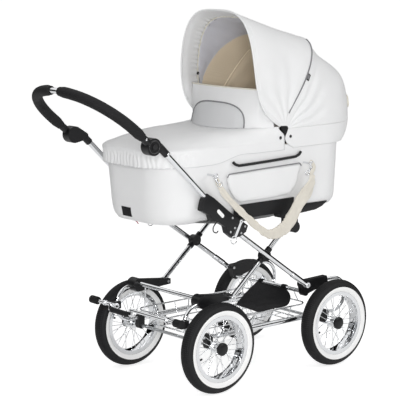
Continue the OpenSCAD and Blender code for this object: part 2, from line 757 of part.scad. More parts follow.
module button(side) color("#3a3a3d") mirror([0, side < 0 ? 1 : 0, 0])
    bar_y(knob, knob_out - 5.5 + button_travel + seat_gap, button_out, button_d);

module latch(side) color("#b9bbbe") mirror([0, side < 0 ? 1 : 0, 0]) {
    down = [-sin(28), -cos(28)];
    low = latch_pivot + latch_len * down;
    wire = latch_t - seat_gap;
    plate_y(bracket_out + seat_gap, bracket_out + latch_t) difference() {
        union() {
            translate(latch_pivot) circle(r = 7);
            polygon([latch_pivot + [-4, 2], latch_pivot + [5, -2], low + [5, -2], low + [-5, 2]]);
        }
        translate(latch_pivot) circle(d = latch_pin_d + 2 * run_gap);
    }
    translate(at_y(low + (latch_loop_r - 2) * down, bracket_out + seat_gap + wire / 2))
        rotate([90, 0, 0]) rotate_extrude() translate([latch_loop_r, 0]) circle(d = wire);
}

// Brake

module brake_bar() color("#cfd1d4") {
    low = brake_at - [4, pedal_drop];
    difference() {
        union() {
            rod(at_y(brake_at, -brake_half), at_y(brake_at, pedal_from), brake_d);
            rod(at_y(brake_at, pedal_to), at_y(brake_at, brake_half), brake_d);
            rod(at_y(low, pedal_from), at_y(low, pedal_to), brake_d);
            for (y = [pedal_from, pedal_to]) {
                rod(at_y(brake_at, y), at_y(low, y), brake_d);
                translate(at_y(brake_at, y)) sphere(d = brake_d);
                translate(at_y(low, y)) sphere(d = brake_d);
            }
            both_sides() plate_y(arm_y - 4, arm_y + 4) {
                translate(brake_pivot) circle(r = 11);
                translate(brake_at) circle(r = brake_d / 2 + 4);
                polygon([brake_pivot + [0, 8], brake_pivot - [0, 8],
                         brake_at - [0, 8], brake_at + [0, 8]]);
            }
        }
        bar_y(brake_pivot, -wheel_y, wheel_y, pin_d - 2 + 2 * run_gap);
    }
}

module brake_pedal() color("#1b1b1d") {
    low = brake_at - [4, pedal_drop];
    difference() {
        bar_y(low, pedal_from + 8, pedal_to - 8, pedal_d);
        bar_y(low, pedal_from, pedal_to, brake_d);
    }
}

module brake_stops() color("#1b1b1d") both_sides() difference() {
    bar_y(brake_at, brake_half - 30, brake_half + 6, stop_d);
    bar_y(brake_at, 0, brake_half, brake_d);
}

// Bassinet

module cot_base() color("#1d1d20") {
    hull() {
        ring_slab(base_rings[0]);
        translate([0, 0, -0.2]) ring_slab(base_rings[1]);
    }
    both_sides() {
        for (x = [rear_foot_x, front_foot_x])
            translate([x - foot_len / 2, half_cot - 85, foot_z])
                cube([foot_len, 60, base_drop + foot_drop - 4]);
        translate([rear_foot_x - 26, 0, 0]) rotate([90, 0, 90])
            linear_extrude(front_foot_x - rear_foot_x + 26)
                polygon([[half_cot - 26, cot_floor_z - 8], [half_cot - 4, cot_floor_z - 6],
                         [half_cot - 3.5, cot_floor_z + 44], [half_cot - 7, cot_floor_z + 44],
                         [half_cot - 10, cot_floor_z], [half_cot - 26, cot_floor_z - 2]]);
    }
}

module cot_tub() color("#f2f2f2") {
    difference() {
        hull() for (r = cot_rings) ring_slab(r);
        hull() {
            translate([0, 0, cot_wall]) ring_slab(cot_rings[0], cot_wall);
            ring_slab(cot_rings[1], cot_wall);
            ring_slab(cot_rings[2], cot_wall, 2);
        }
    }
    both_sides() for (x = carry_ends)
        translate([x - carry_lug / 2, half_cot - cot_wall, carry_z - carry_lug / 2])
            cube([carry_lug, carry_y - carry_d / 2 - seat_gap - half_cot + cot_wall, carry_lug - 2]);
}

// Crowned pillow with drawn-in sides between its corners
module mattress() color("#efe7d8") {
    x0 = -cot_foot + 62;
    x1 = cot_head - 46;
    half = half_cot - 48;
    z0 = cot_floor_z + cot_wall + 0.6;
    rows = 12;
    cols = 24;
    profile = [for (i = [0:rows]) let (u = i / rows, a = 180 * u)
        [1 - 0.05 * (1 - sin(a)) - 0.5 * pow(abs(1 - 2 * u), 6), z0 + mattress_t * u]];
    rings = [for (i = [0:rows]) [for (j = [0:cols - 1]) let (
            a = 360 * j / cols,
            pull = 1 - 0.03 * pow(cos(2 * a), 2) * sin(180 * i / rows))
        [mix(x0, x1, 0.5 + 0.5 * profile[i][0] * pull * spow(cos(a), 0.45)),
         half * profile[i][0] * pull * spow(sin(a), 0.45), profile[i][1]]]];
    pts = concat([for (r = rings) each r],
        [[mix(x0, x1, 0.5), 0, z0], [mix(x0, x1, 0.5), 0, z0 + mattress_t * 1.12]]);
    base = (rows + 1) * cols;
    polyhedron(pts, concat(
        [for (i = [0:rows - 1], j = [0:cols - 1]) let (k = (j + 1) % cols) each [
            [i * cols + j, (i + 1) * cols + j, (i + 1) * cols + k],
            [i * cols + j, (i + 1) * cols + k, i * cols + k]]],
        [for (j = [0:cols - 1]) [base, j, (j + 1) % cols]],
        [for (j = [0:cols - 1]) [base + 1, rows * cols + (j + 1) % cols, rows * cols + j]]));
}

// Plan of a cloth end as [x, y]: along the left side from x0, round the corner that starts at x1,
// across the end at x2 and back along the right side
function end_plan(x0, x1, x2, half) =
    let (h = concat(
        [for (i = [0:4]) [mix(x0, x1, i / 4), half]],
        [for (i = [1:8]) let (a = 90 * i / 8)
            [x1 + (x2 - x1) * sin(a), cot_flat + (half - cot_flat) * cos(a)]]))
    concat(h, [for (k = [0.5, 0, -0.5]) [x2, k * cot_flat]], [for (i = [12:-1:0]) [h[i][0], -h[i][1]]]);

// Plan of the apron's outer edge
function apron_plan(inset) = end_plan(
    mouth_x, cot_corner_r - cot_foot, inset - cot_foot - apron_over, apron_w - inset);

// Turn about the opening's middle towards a plan point, and the opening's edge at a turn
function mouth_turn(p) = atan2(p[1] / apron_w, (mouth_x - p[0]) / mouth_reach);
function mouth(t, inset) = [mouth_x - mouth_reach * cos(t), (apron_w - inset) * sin(t),
    rim_z + mouth_rise + mouth_lift * pow(sin(t), 2)];

// Ring of the apron at share r of the way from its opening out to the edge
function apron_ring(r, inset, drop) = [for (p = apron_plan(inset)) let (
        t = mouth_turn(p),
        m = mouth(t, inset),
        full = apron_swell * cos(t) * sin(180 * r))
    [mix(m[0], p[0], r), mix(m[1], p[1], r),
     apron_edge_z - drop + (m[2] - apron_edge_z) * (1 - pow(r, 3)) + full]];

// Ring of the apron below its edge, lifted along the sides
function hem_ring(z, inset, lift) = [for (p = apron_plan(inset))
    [p[0], p[1], z + lift * min(max((p[0] + 250) / 50, 0), 1)]];

function apron_grid(inset, drop) = concat(
    [for (r = [0, 0.15, 0.32, 0.5, 0.66, 0.8, 0.91, 1]) apron_ring(r, inset, drop)],
    [hem_ring(rim_z - 6, inset, apron_roll / 2), hem_ring(rim_z - apron_hem, inset + 0.3, apron_lift)]);

module apron() color("#f4f4f4") sheet(apron_grid(0, 0), apron_grid(apron_skin, apron_t));

module side_pocket() color("#f1f1f1") {
    z0 = cot_floor_z + 51;
    z1 = cot_floor_z + 163;
    inner = half_cot - 9 * (rim_z - z1 - 4) / (cot_depth - 48) + seat_gap;
    plate_y(-inner - pocket_t, -inner) polygon([
        [-212, z1 - 12], [-200, z1 - 4], [hook_x[1] - 34, z1 + 4], [hook_x[1] - 22, z1 - 8],
        [hook_x[1] - 38, z0 + 42], [hook_x[1] - 66, z0 + 12], [hook_x[1] - 84, z0 + 4],
        [-128, z0], [-172, z0 + 14], [-206, z0 + 60]]);
}

// Strap stations as [x, z, half width], from the rear hook round to the front hook
strap_run = [
    [-300, 12, 8], [-286, -12, 9], [-272, -34, 10], [-252, -64, 12], [-214, -100, 12], [-169, -139, 12],
    [-116, -183, 13], [-65, -220, 14], [-30, -232, 18], [8, -228, 23], [46, -208, 25],
    [76, -174, 25], [104, -138, 25], [140, -102, 25], [162, -72, 24],
    [168, -40, 17], [163, -12, 10], [160, 12, 9]];

function strap_side(i) =
    let (n = len(strap_run),
         a = strap_run[max(i - 1, 0)],
         b = strap_run[min(i + 1, n - 1)],
         d = [b[0] - a[0], b[1] - a[1]])
    [-d[1], d[0]] / norm(d);

function strap_point(i, s) =
    [strap_run[i][0], hook_z + strap_run[i][1]] + s * strap_run[i][2] * strap_side(i);

module shoulder_strap() color("#efe9dc") plate_y(-strap_y - strap_t, -strap_y) difference() {
    polygon(concat(
        [for (i = [0:len(strap_run) - 1]) strap_point(i, 1)],
        [for (i = [len(strap_run) - 1:-1:0]) strap_point(i, -1)]));
    for (x = hook_x) translate([x, hook_z]) circle(d = hook_d + 2 * seat_gap);
}

module strap_hooks() color("#c9cbce") for (x = hook_x) {
    face = strap_y + strap_t + seat_gap;
    bar_y([x, hook_z], -face - 3, -half_cot + 3.1, hook_d);
    bar_y([x, hook_z], -face - 3, -face, hook_d + 8);
}

// Half of the carry handle's line as [in from its end, below its pivot]
carry_run = [[0, 0], [18, 0.72], [24, 0.9], [34, 1]];

module carry_handle(side) color("#1b1b1d") swept(concat(
    [for (c = carry_run) [carry_ends[0] + c[0], side * carry_y, carry_z - carry_drop * c[1]]],
    [for (i = [3:-1:0]) [carry_ends[1] - carry_run[i][0], side * carry_y,
        carry_z - carry_drop * carry_run[i][1]]]), carry_d, 10, [0, 1, 0]);

// Hood

// Turn and distance of a point about the hood's pivot
function polar(p) = [atan2(p[2] - hood_at[1], p[0] - hood_at[0]),
    norm([p[0] - hood_at[0], p[2] - hood_at[1]])];

// The hood's three edges, left foot to right foot
front_edge = [for (s = across) [
    hood_at[0] - hood_reach * (1 - exp(-s[0] / 0.14)), hood_y * s[1], hood_at[1] + hood_rise * s[0]]];
middle_edge = [for (s = across) let (t = hood_mid_deg + 50 * exp(-s[0] / 0.15)) [
    hood_at[0] + hood_mid_r * s[0] * cos(t), hood_y * s[1], hood_at[1] + hood_mid_r * s[0] * sin(t)]];

// Plan of the skirt, drawn in at its end and sides
function skirt_plan(end_in, side_in) = end_plan(
    hood_at[0] + 12, cot_head - cot_corner_r, hood_at[0] + hood_back - end_in, hood_y - side_in);

back_edge = [for (p = skirt_plan(0, 0)) [p[0], p[1], skirt_top]];

// Point between two edges, turned about the hood's pivot, swelled and drawn in by an inset
function fan(p, q, t, inset, swell = [0, 0, 0]) = let (
        u = polar(p),
        v = polar(q),
        turn = mix(u[0], v[0], t),
        wave = swell[0] * sin(180 * t) + swell[1] * sin(360 * t) + swell[2] * sin(540 * t),
        full = wave * min(u[1], v[1]) / hood_back,
        r = max(mix(u[1], v[1], t) + full - inset, 2))
    [hood_at[0] + r * cos(turn), mix(p[1], q[1], t) * (1 - inset / hood_y), hood_at[1] + r * sin(turn)];

// Cloth drawn straight from the front arch to the middle rib, and short of it by the seam
function drawn_grid(inset) = [for (i = [0:6]) [for (j = [0:len(front_edge) - 1]) let (
        p = fan(front_edge[j], front_edge[j], 0, inset),
        q = fan(middle_edge[j], middle_edge[j], 0, inset))
    mix(p, q, min(i / 6, 1 - hood_seam / norm(q - p)))]];

// Cloth filled out between the middle rib and the skirt
function filled_grid(inset) = [for (i = [0:10]) [for (j = [0:len(back_edge) - 1])
    fan(middle_edge[j], back_edge[j], i / 10, inset, hood_swell)]];

module front_canopy() color("#f6f6f6") sheet(drawn_grid(hood_t), drawn_grid(0));

module rear_canopy() color("#f6f6f6") sheet(filled_grid(hood_t), filled_grid(0));

// Middle of the whole pram along X, from the bow's grips to the back of the hood
hood_far = max([for (row = filled_grid(0)) row[14][0]]);
mid_x = (rear_end + hood_far) / 2;

// Levels of the skirt as [z, draw at the end, draw at the sides]
skirt_levels = [
    [skirt_top - seat_gap, 0, 0], [rim_z + 20, skirt_lean / 4, 0], [skirt_low, skirt_lean, 0.6]];

function skirt_rings(inset) = [for (l = skirt_levels)
    [for (p = skirt_plan(l[1] + inset, l[2] + inset)) [p[0], p[1], l[0]]]];

module hood_skirt() color("#f4f4f4") sheet(skirt_rings(skirt_t), skirt_rings(0));

// Rib inside an edge, with an eye and a blade at each foot, on the hinge pin from y0 to y1
module rib(edge, ref, y0, y1) {
    path = [for (j = [1:len(edge) - 2]) fan(edge[j], edge[j], 0, rib_inset)];
    swept(path, rib_d, 8, ref);
    foot = [path[0][0], path[0][2]];
    away = (foot - hood_at) / norm(foot - hood_at);
    across_blade = 4 * [-away[1], away[0]];
    both_sides() plate_y(y0, y1) difference() {
        union() {
            translate(hood_at) circle(r = 11);
            polygon([hood_at + across_blade, hood_at - across_blade,
                     foot + 3 * away - across_blade, foot + 3 * away + across_blade]);
        }
        translate(hood_at) circle(d = hood_pin_d + 2 * run_gap);
    }
}

eye_in = hinge_y + hinge_t + seat_gap;

module middle_rib() color("#8f9196")
    rib(middle_edge, [-sin(hood_mid_deg), 0, cos(hood_mid_deg)], eye_in, eye_in + eye_t);

module front_rib() color("#8f9196")
    rib(front_edge, [0.94, 0, 0.34], eye_in + eye_t + seat_gap, eye_in + 2 * eye_t + seat_gap);

module hood_hinges() color("#2a2a2c") both_sides() {
    low = rim_z - 25;
    plate_y(hinge_y, hinge_y + hinge_t) {
        translate(hood_at) circle(r = 15);
        translate([hood_at[0] - 15, low]) square([30, hood_at[1] - low]);
    }
    bar_y(hood_at, hinge_y, eye_in + 2 * eye_t + seat_gap, hood_pin_d);
}

// Row of the windshield flap at height share v, bowed to follow the apron's opening at its foot
function flap_row(v, inset) = [for (i = [0:20]) let (
        k = i / 10 - 1,
        foot = mouth(flap_turn * k, 2.4),
        base = [foot[0] + 0.4, foot[1], foot[2] + 0.5 + k * k],
        top = [mouth_x - mouth_reach + flap_back + flap_bow * k * k, flap_half * k,
               rim_z + mouth_rise + flap_h])
    mix(base, top, v) + inset * [cos(40 * k), -sin(40 * k), 0]];

function flap_grid(inset) = [for (v = [0, 0.25, 0.5, 0.75, 1]) flap_row(v, inset)];

module windshield_flap() color("#eeeeee") sheet(flap_grid(flap_t), flap_grid(0));

placed() tyre(axle_x, 1);  // tyre_front_left
placed() rim(axle_x, 1);  // rim_front_left
placed() spoked_hub(axle_x, 1);  // spoked_hub_front_left
placed() hub_cap(axle_x, 1);  // hub_cap_front_left
placed() tyre(axle_x, -1);  // tyre_front_right
placed() rim(axle_x, -1);  // rim_front_right
placed() spoked_hub(axle_x, -1);  // spoked_hub_front_right
placed() hub_cap(axle_x, -1);  // hub_cap_front_right
placed() tyre(-axle_x, 1);  // tyre_rear_left
placed() rim(-axle_x, 1);  // rim_rear_left
placed() spoked_hub(-axle_x, 1);  // spoked_hub_rear_left
placed() hub_cap(-axle_x, 1);  // hub_cap_rear_left
placed() tyre(-axle_x, -1);  // tyre_rear_right
placed() rim(-axle_x, -1);  // rim_rear_right
placed() spoked_hub(-axle_x, -1);  // spoked_hub_rear_right
placed() hub_cap(-axle_x, -1);  // hub_cap_rear_right
placed() c_springs();
placed() axles();
placed() axle_clamps();
placed() rear_blocks();
placed() front_blocks();
placed() cross_tubes();
placed() pivot_pins();
placed() brake_clips();
placed() basket_frame();
placed() basket_cover();
placed() rear_legs();
placed() lock_brackets();
placed() front_legs();
placed() crossing_blocks();
placed() cot_clamps();
placed() handle_tubes();
placed() joint_housings();
placed() push_bow();
placed() grip(1);  // grip_left
placed() grip(-1);  // grip_right
placed() swivel_knobs();
placed() button(1);  // button_left
placed() button(-1);  // button_right
placed() latch(1);  // latch_left
placed() latch(-1);  // latch_right
placed() brake_bar();
placed() brake_pedal();
placed() brake_stops();
placed() cot_base();
placed() cot_tub();
placed() mattress();
placed() apron();
placed() side_pocket();
placed() shoulder_strap();
placed() strap_hooks();
placed() hood_hinges();
placed() hood_skirt();
placed() rear_canopy();
placed() middle_rib();
placed() front_canopy();
placed() front_rib();
placed() windshield_flap();
placed() carry_handle(1);  // carry_handle_left
placed() carry_handle(-1);  // carry_handle_right
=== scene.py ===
"""Looks of a bassinet pram: a white leatherette bassinet and hood on chromed running gear.

Lengths are millimetres on the source's own axes, with X counted from the middle of the wheelbase.
Bench.at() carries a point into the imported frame, in metres.
"""

from __future__ import annotations

import json
import logging
import math
from dataclasses import dataclass, field
from enum import Enum
from heapq import nsmallest
from typing import Callable, Iterable, Sequence

import bmesh
import bpy
from mathutils import Matrix, Vector, noise

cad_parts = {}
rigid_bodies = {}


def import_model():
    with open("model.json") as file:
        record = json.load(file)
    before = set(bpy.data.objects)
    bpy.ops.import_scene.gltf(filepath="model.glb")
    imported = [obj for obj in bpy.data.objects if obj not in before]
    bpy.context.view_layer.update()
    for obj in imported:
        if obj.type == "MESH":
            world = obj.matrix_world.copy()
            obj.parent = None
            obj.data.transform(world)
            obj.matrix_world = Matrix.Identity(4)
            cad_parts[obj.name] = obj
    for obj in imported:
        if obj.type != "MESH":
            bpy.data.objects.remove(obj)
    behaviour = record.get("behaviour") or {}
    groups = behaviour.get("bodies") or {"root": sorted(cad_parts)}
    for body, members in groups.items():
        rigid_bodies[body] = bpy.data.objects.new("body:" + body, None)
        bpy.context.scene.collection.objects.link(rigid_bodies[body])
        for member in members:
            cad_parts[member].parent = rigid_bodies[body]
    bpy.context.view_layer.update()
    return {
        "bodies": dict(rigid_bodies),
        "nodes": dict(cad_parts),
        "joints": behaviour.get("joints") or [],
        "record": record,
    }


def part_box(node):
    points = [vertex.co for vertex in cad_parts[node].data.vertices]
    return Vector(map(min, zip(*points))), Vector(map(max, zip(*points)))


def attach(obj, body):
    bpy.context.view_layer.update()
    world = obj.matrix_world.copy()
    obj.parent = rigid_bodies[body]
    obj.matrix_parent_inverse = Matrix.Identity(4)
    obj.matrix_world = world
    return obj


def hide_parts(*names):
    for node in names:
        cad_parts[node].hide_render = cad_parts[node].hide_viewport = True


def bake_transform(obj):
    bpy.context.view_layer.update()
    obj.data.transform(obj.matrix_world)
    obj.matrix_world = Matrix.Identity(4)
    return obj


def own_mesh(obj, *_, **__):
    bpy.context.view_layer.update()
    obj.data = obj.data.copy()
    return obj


LOG = logging.getLogger("pram")
MM = 0.001
SIDES = {"left": 1, "right": -1}
WHEELS = ("front_left", "front_right", "rear_left", "rear_right")
Surface = Callable[[float, float], Vector]


class Grain(Enum):
    """Small relief of a finish."""

    SMOOTH = "smooth"
    PEBBLE = "pebble"
    WEAVE = "weave"
    FOAM = "foam"


class Trim(Enum):
    """Finishes of the pram."""

    TYRE = "tyre_rubber"
    WHITEWALL = "whitewall"
    CHROME = "chrome"
    STEEL = "steel"
    PLASTIC = "black_plastic"
    GLOSS = "gloss_black"
    FOAM = "foam_rubber"
    BLACK_CLOTH = "black_cloth"
    LEATHERETTE = "white_leatherette"
    PANEL = "pale_panel"
    LINING = "hood_lining"
    BEIGE = "beige_quilt"
    WEBBING = "cream_webbing"
    PIPING = "grey_piping"
    CREAM = "cream_binding"
    RED = "red_thread"


def highest(tree: bpy.types.NodeTree,
            values: Sequence[bpy.types.NodeSocket]) -> bpy.types.NodeSocket:
    """Adds the nodes that pick the highest of several values.

    Args:
        tree: the nodes that they join.
        values: the values.

    Returns:
        The highest one.
    """
    top = values[0]
    for value in values[1:]:
        pick = tree.nodes.new("ShaderNodeMath")
        pick.operation = "MAXIMUM"
        tree.links.new(top, pick.inputs[0])
        tree.links.new(value, pick.inputs[1])
        top = pick.outputs[0]
    return top


@dataclass(frozen=True)
class Finish:
    """A finish and the nodes that make it.

    Args:
        colour: main colour, linear.
        shade: second colour that the first drifts to.
        rough: lowest and highest roughness.
        metal: how far it is metal.
        grain: kind of its relief.
        cells: cells of the relief to the metre.
        depth: depth of the relief, in metres.
        sheen: fuzz of a cloth.
        coat: clear coat over it.
        spec: level of its plain reflection.
        slot: the record's material slot, where it has one.
    """

    colour: tuple[float, float, float]
    shade: tuple[float, float, float]
    rough: tuple[float, float]
    metal: float = 0.0
    grain: Grain = Grain.SMOOTH
    cells: float = 0.0
    depth: float = 0.0
    sheen: float = 0.0
    coat: float = 0.0
    spec: float = 0.5
    slot: str | None = None

    def material(self, name: str) -> bpy.types.Material:
        """Builds the finish's material.

        Args:
            name: the material's name.

        Returns:
            The new material.
        """
        made = bpy.data.materials.new(name)
        made.use_nodes = True
        tree = made.node_tree
        shader = tree.nodes["Principled BSDF"]
        shader.inputs["Metallic"].default_value = self.metal
        shader.inputs["Sheen Weight"].default_value = self.sheen
        shader.inputs["Coat Weight"].default_value = self.coat
        shader.inputs["Specular IOR Level"].default_value = self.spec
        place = tree.nodes.new("ShaderNodeTexCoord").outputs["Object"]
        drift = self._noise(tree, place, 11.0, 5.0)
        blend = tree.nodes.new("ShaderNodeMix")
        blend.data_type = "RGBA"
        blend.inputs[6].default_value = (*self.colour, 1.0)
        blend.inputs[7].default_value = (*self.shade, 1.0)
        tree.links.new(drift, blend.inputs[0])
        tree.links.new(blend.outputs[2], shader.inputs["Base Color"])
        spread = tree.nodes.new("ShaderNodeMapRange")
        spread.inputs["To Min"].default_value = self.rough[0]
        spread.inputs["To Max"].default_value = self.rough[1]
        tree.links.new(self._noise(tree, place, 65.0, 3.0), spread.inputs["Value"])
        tree.links.new(spread.outputs[0], shader.inputs["Roughness"])
        relief = self._relief(tree, place)
        if relief is not None:
            bump = tree.nodes.new("ShaderNodeBump")
            bump.inputs["Strength"].default_value = 0.8
            bump.inputs["Distance"].default_value = self.depth
            tree.links.new(relief, bump.inputs["Height"])
            tree.links.new(bump.outputs["Normal"], shader.inputs["Normal"])
        return made

    @staticmethod
    def _noise(tree: bpy.types.NodeTree, place: bpy.types.NodeSocket, scale: float,
               detail: float) -> bpy.types.NodeSocket:
        """Adds a noise texture.

        Args:
            tree: the material's nodes.
            place: where on the object a point is.
            scale: cells to the metre.
            detail: how many finer layers it has.

        Returns:
            The noise's strength.
        """
        made = tree.nodes.new("ShaderNodeTexNoise")
        made.inputs["Scale"].default_value = scale
        made.inputs["Detail"].default_value = detail
        tree.links.new(place, made.inputs["Vector"])
        return made.outputs[0]

    def _relief(self, tree: bpy.types.NodeTree,
                place: bpy.types.NodeSocket) -> bpy.types.NodeSocket | None:
        """Adds the textures of the grain.

        Args:
            tree: the material's nodes.
            place: where on the object a point is.

        Returns:
            The height of the relief, or None for a smooth finish.
        """
        if self.grain is Grain.PEBBLE:
            cell = tree.nodes.new("ShaderNodeTexVoronoi")
            cell.inputs["Scale"].default_value = self.cells
            tree.links.new(place, cell.inputs["Vector"])
            return cell.outputs["Distance"]
        if self.grain is Grain.FOAM:
            return self._noise(tree, place, self.cells, 2.0)
        if self.grain is Grain.WEAVE:
            return highest(tree, [self._thread(tree, place, axis) for axis in ("X", "Y", "Z")])
        return None

    def _thread(self, tree: bpy.types.NodeTree, place: bpy.types.NodeSocket,
                axis: str) -> bpy.types.NodeSocket:
        """Adds one run of threads along an axis.

        Args:
            tree: the material's nodes.
            place: where on the object a point is.
            axis: the axis that the threads are counted along.

        Returns:
            The threads' height.
        """
        wave = tree.nodes.new("ShaderNodeTexWave")
        wave.bands_direction = axis
        wave.inputs["Scale"].default_value = self.cells
        wave.inputs["Distortion"].default_value = 0.6
        tree.links.new(place, wave.inputs["Vector"])
        return wave.outputs[1]


FINISHES: dict[Trim, Finish] = {
    Trim.TYRE: Finish((0.009, 0.009, 0.010), (0.015, 0.015, 0.016), (0.5, 0.7), spec=0.25,
                      grain=Grain.FOAM, cells=900.0, depth=0.0003, slot="tyre_rubber"),
    Trim.WHITEWALL: Finish((0.96, 0.96, 0.955), (0.93, 0.93, 0.925), (0.42, 0.58),
                           grain=Grain.FOAM, cells=500.0, depth=0.0002),
    Trim.CHROME: Finish((0.80, 0.81, 0.82), (0.74, 0.75, 0.77), (0.05, 0.13), metal=1.0,
                        slot="chrome_plate"),
    Trim.STEEL: Finish((0.56, 0.57, 0.58), (0.48, 0.49, 0.50), (0.26, 0.40), metal=1.0,
                       slot="plain_steel"),
    Trim.PLASTIC: Finish((0.006, 0.006, 0.007), (0.011, 0.011, 0.012), (0.30, 0.46), spec=0.3,
                         grain=Grain.FOAM, cells=1400.0, depth=0.0002, slot="black_plastic"),
    Trim.GLOSS: Finish((0.014, 0.014, 0.015), (0.02, 0.02, 0.022), (0.16, 0.28), coat=0.3,
                       slot="black_button"),
    Trim.FOAM: Finish((0.007, 0.007, 0.008), (0.013, 0.013, 0.014), (0.6, 0.8), spec=0.25,
                      grain=Grain.FOAM, cells=650.0, depth=0.0006, slot="black_foam"),
    Trim.BLACK_CLOTH: Finish((0.008, 0.008, 0.009), (0.013, 0.013, 0.015), (0.7, 0.85), spec=0.2,
                             grain=Grain.WEAVE, cells=240.0, depth=0.0004, sheen=0.03,
                             slot="black_cloth"),
    Trim.LEATHERETTE: Finish((0.86, 0.862, 0.865), (0.81, 0.813, 0.818), (0.46, 0.62),
                             grain=Grain.PEBBLE, cells=620.0, depth=0.00035, sheen=0.08,
                             slot="white_leatherette"),
    Trim.PANEL: Finish((0.70, 0.705, 0.715), (0.64, 0.645, 0.655), (0.44, 0.6),
                       grain=Grain.PEBBLE, cells=620.0, depth=0.00035,
                       slot="white_leatherette"),
    Trim.LINING: Finish((0.74, 0.74, 0.79), (0.64, 0.64, 0.69), (0.7, 0.88),
                        grain=Grain.WEAVE, cells=300.0, depth=0.0003, sheen=0.2),
    Trim.BEIGE: Finish((0.95, 0.82, 0.62), (0.86, 0.72, 0.53), (0.78, 0.92),
                       grain=Grain.WEAVE, cells=260.0, depth=0.0004, sheen=0.3,
                       slot="beige_cloth"),
    Trim.WEBBING: Finish((0.80, 0.76, 0.68), (0.70, 0.66, 0.58), (0.72, 0.9),
                         grain=Grain.WEAVE, cells=190.0, depth=0.0006, sheen=0.15,
                         slot="cream_webbing"),
    Trim.PIPING: Finish((0.20, 0.20, 0.21), (0.26, 0.26, 0.27), (0.5, 0.66),
                        grain=Grain.WEAVE, cells=420.0, depth=0.0002),
    Trim.CREAM: Finish((0.78, 0.75, 0.66), (0.70, 0.67, 0.58), (0.55, 0.72),
                       grain=Grain.WEAVE, cells=420.0, depth=0.0002),
    Trim.RED: Finish((0.42, 0.03, 0.05), (0.34, 0.02, 0.04), (0.6, 0.75),
                     grain=Grain.WEAVE, cells=420.0, depth=0.0002),
}


def course(points: Sequence[Vector], share: float) -> Vector:
    """Finds a point on the smooth curve through a row of points.

    Args:
        points: the row.
        share: how far along, from 0 to 1, counted in points.

    Returns:
        The point.
    """
    last = len(points) - 1
    run = min(max(share, 0.0), 1.0) * last
    i = min(int(run), last - 1)
    f = run - i
    a, b, c, d = (points[min(max(k, 0), last)] for k in (i - 1, i, i + 1, i + 2))
    bend = (2 * a - 5 * b + 4 * c - d) + f * (3 * (b - c) + d - a)
    return b + 0.5 * f * ((c - a) + f * bend)


def even(points: Sequence[Vector], count: int) -> list[Vector]:
    """Lays points at even steps along the smooth curve through a row.

    Args:
        points: the row.
        count: how many points to lay.

    Returns:
        The points.
    """
    fine = [course(points, i / (8 * len(points))) for i in range(8 * len(points) + 1)]
    runs = [0.0]
    for a, b in zip(fine, fine[1:]):
        runs.append(runs[-1] + (b - a).length)
    laid, k = [], 0
    for i in range(count):
        goal = runs[-1] * i / (count - 1)
        while k < len(fine) - 2 and runs[k + 1] < goal:
            k += 1
        span = max(runs[k + 1] - runs[k], 1e-9)
        laid.append(fine[k].lerp(fine[k + 1], (goal - runs[k]) / span))
    return laid


def steps(count: int, low: float = 0.0, high: float = 1.0) -> list[float]:
    """Even steps from low to high, with both ends."""
    return [low + (high - low) * i / (count - 1) for i in range(count)]


def turns(count: int) -> list[float]:
    """Even turns once round a circle, in radians."""
    return [2 * math.pi * i / count for i in range(count)]


def ease(low: float, high: float, value: float) -> float:
    """Rises smoothly from 0 at low to 1 at high."""
    t = min(max((value - low) / (high - low), 0.0), 1.0)
    return t * t * (3 - 2 * t)


def grid(surface: Surface, cols: int, rows: int) -> bmesh.types.BMesh:
    """Spreads a flat grid over a surface.

    Args:
        surface: gives the place of a share along and a share across.
        cols: faces along.
        rows: faces across.

    Returns:
        The mesh, with a UV map in shares.
    """
    bm = bmesh.new()
    bm.loops.layers.uv.new("cloth")
    bmesh.ops.create_grid(bm, x_segments=cols, y_segments=rows, size=0.5, calc_uvs=True)
    low = min(v.co.x for v in bm.verts), min(v.co.y for v in bm.verts)
    high = max(v.co.x for v in bm.verts), max(v.co.y for v in bm.verts)
    for v in bm.verts:
        u, w = ((v.co[k] - low[k]) / (high[k] - low[k]) for k in (0, 1))
        v.co = surface(u, w)
    return bm


def close(bm: bmesh.types.BMesh, reach: float = 1e-5) -> None:
    """Joins points that meet and turns the faces outwards."""
    bmesh.ops.remove_doubles(bm, verts=bm.verts, dist=reach)
    bmesh.ops.recalc_face_normals(bm, faces=bm.faces)


def face_away(bm: bmesh.types.BMesh, centre: Vector, inward: bool = False) -> None:
    """Turns an open sheet so that its faces look away from a point.

    Args:
        bm: the sheet.
        centre: the point.
        inward: whether the faces look towards the point instead.
    """
    bmesh.ops.recalc_face_normals(bm, faces=bm.faces)
    lean = sum((f.calc_center_median() - centre).dot(f.normal) * f.calc_area() for f in bm.faces)
    if (lean < 0) != inward:
        bmesh.ops.reverse_faces(bm, faces=bm.faces)


def ruffle(bm: bmesh.types.BMesh, depth: Callable[[Vector], float]) -> None:
    """Moves each point along its normal.

    Args:
        bm: the mesh.
        depth: how far a point at a place moves, in metres.
    """
    bm.normal_update()
    for v, move in [(v, v.normal * depth(v.co)) for v in bm.verts]:
        v.co += move


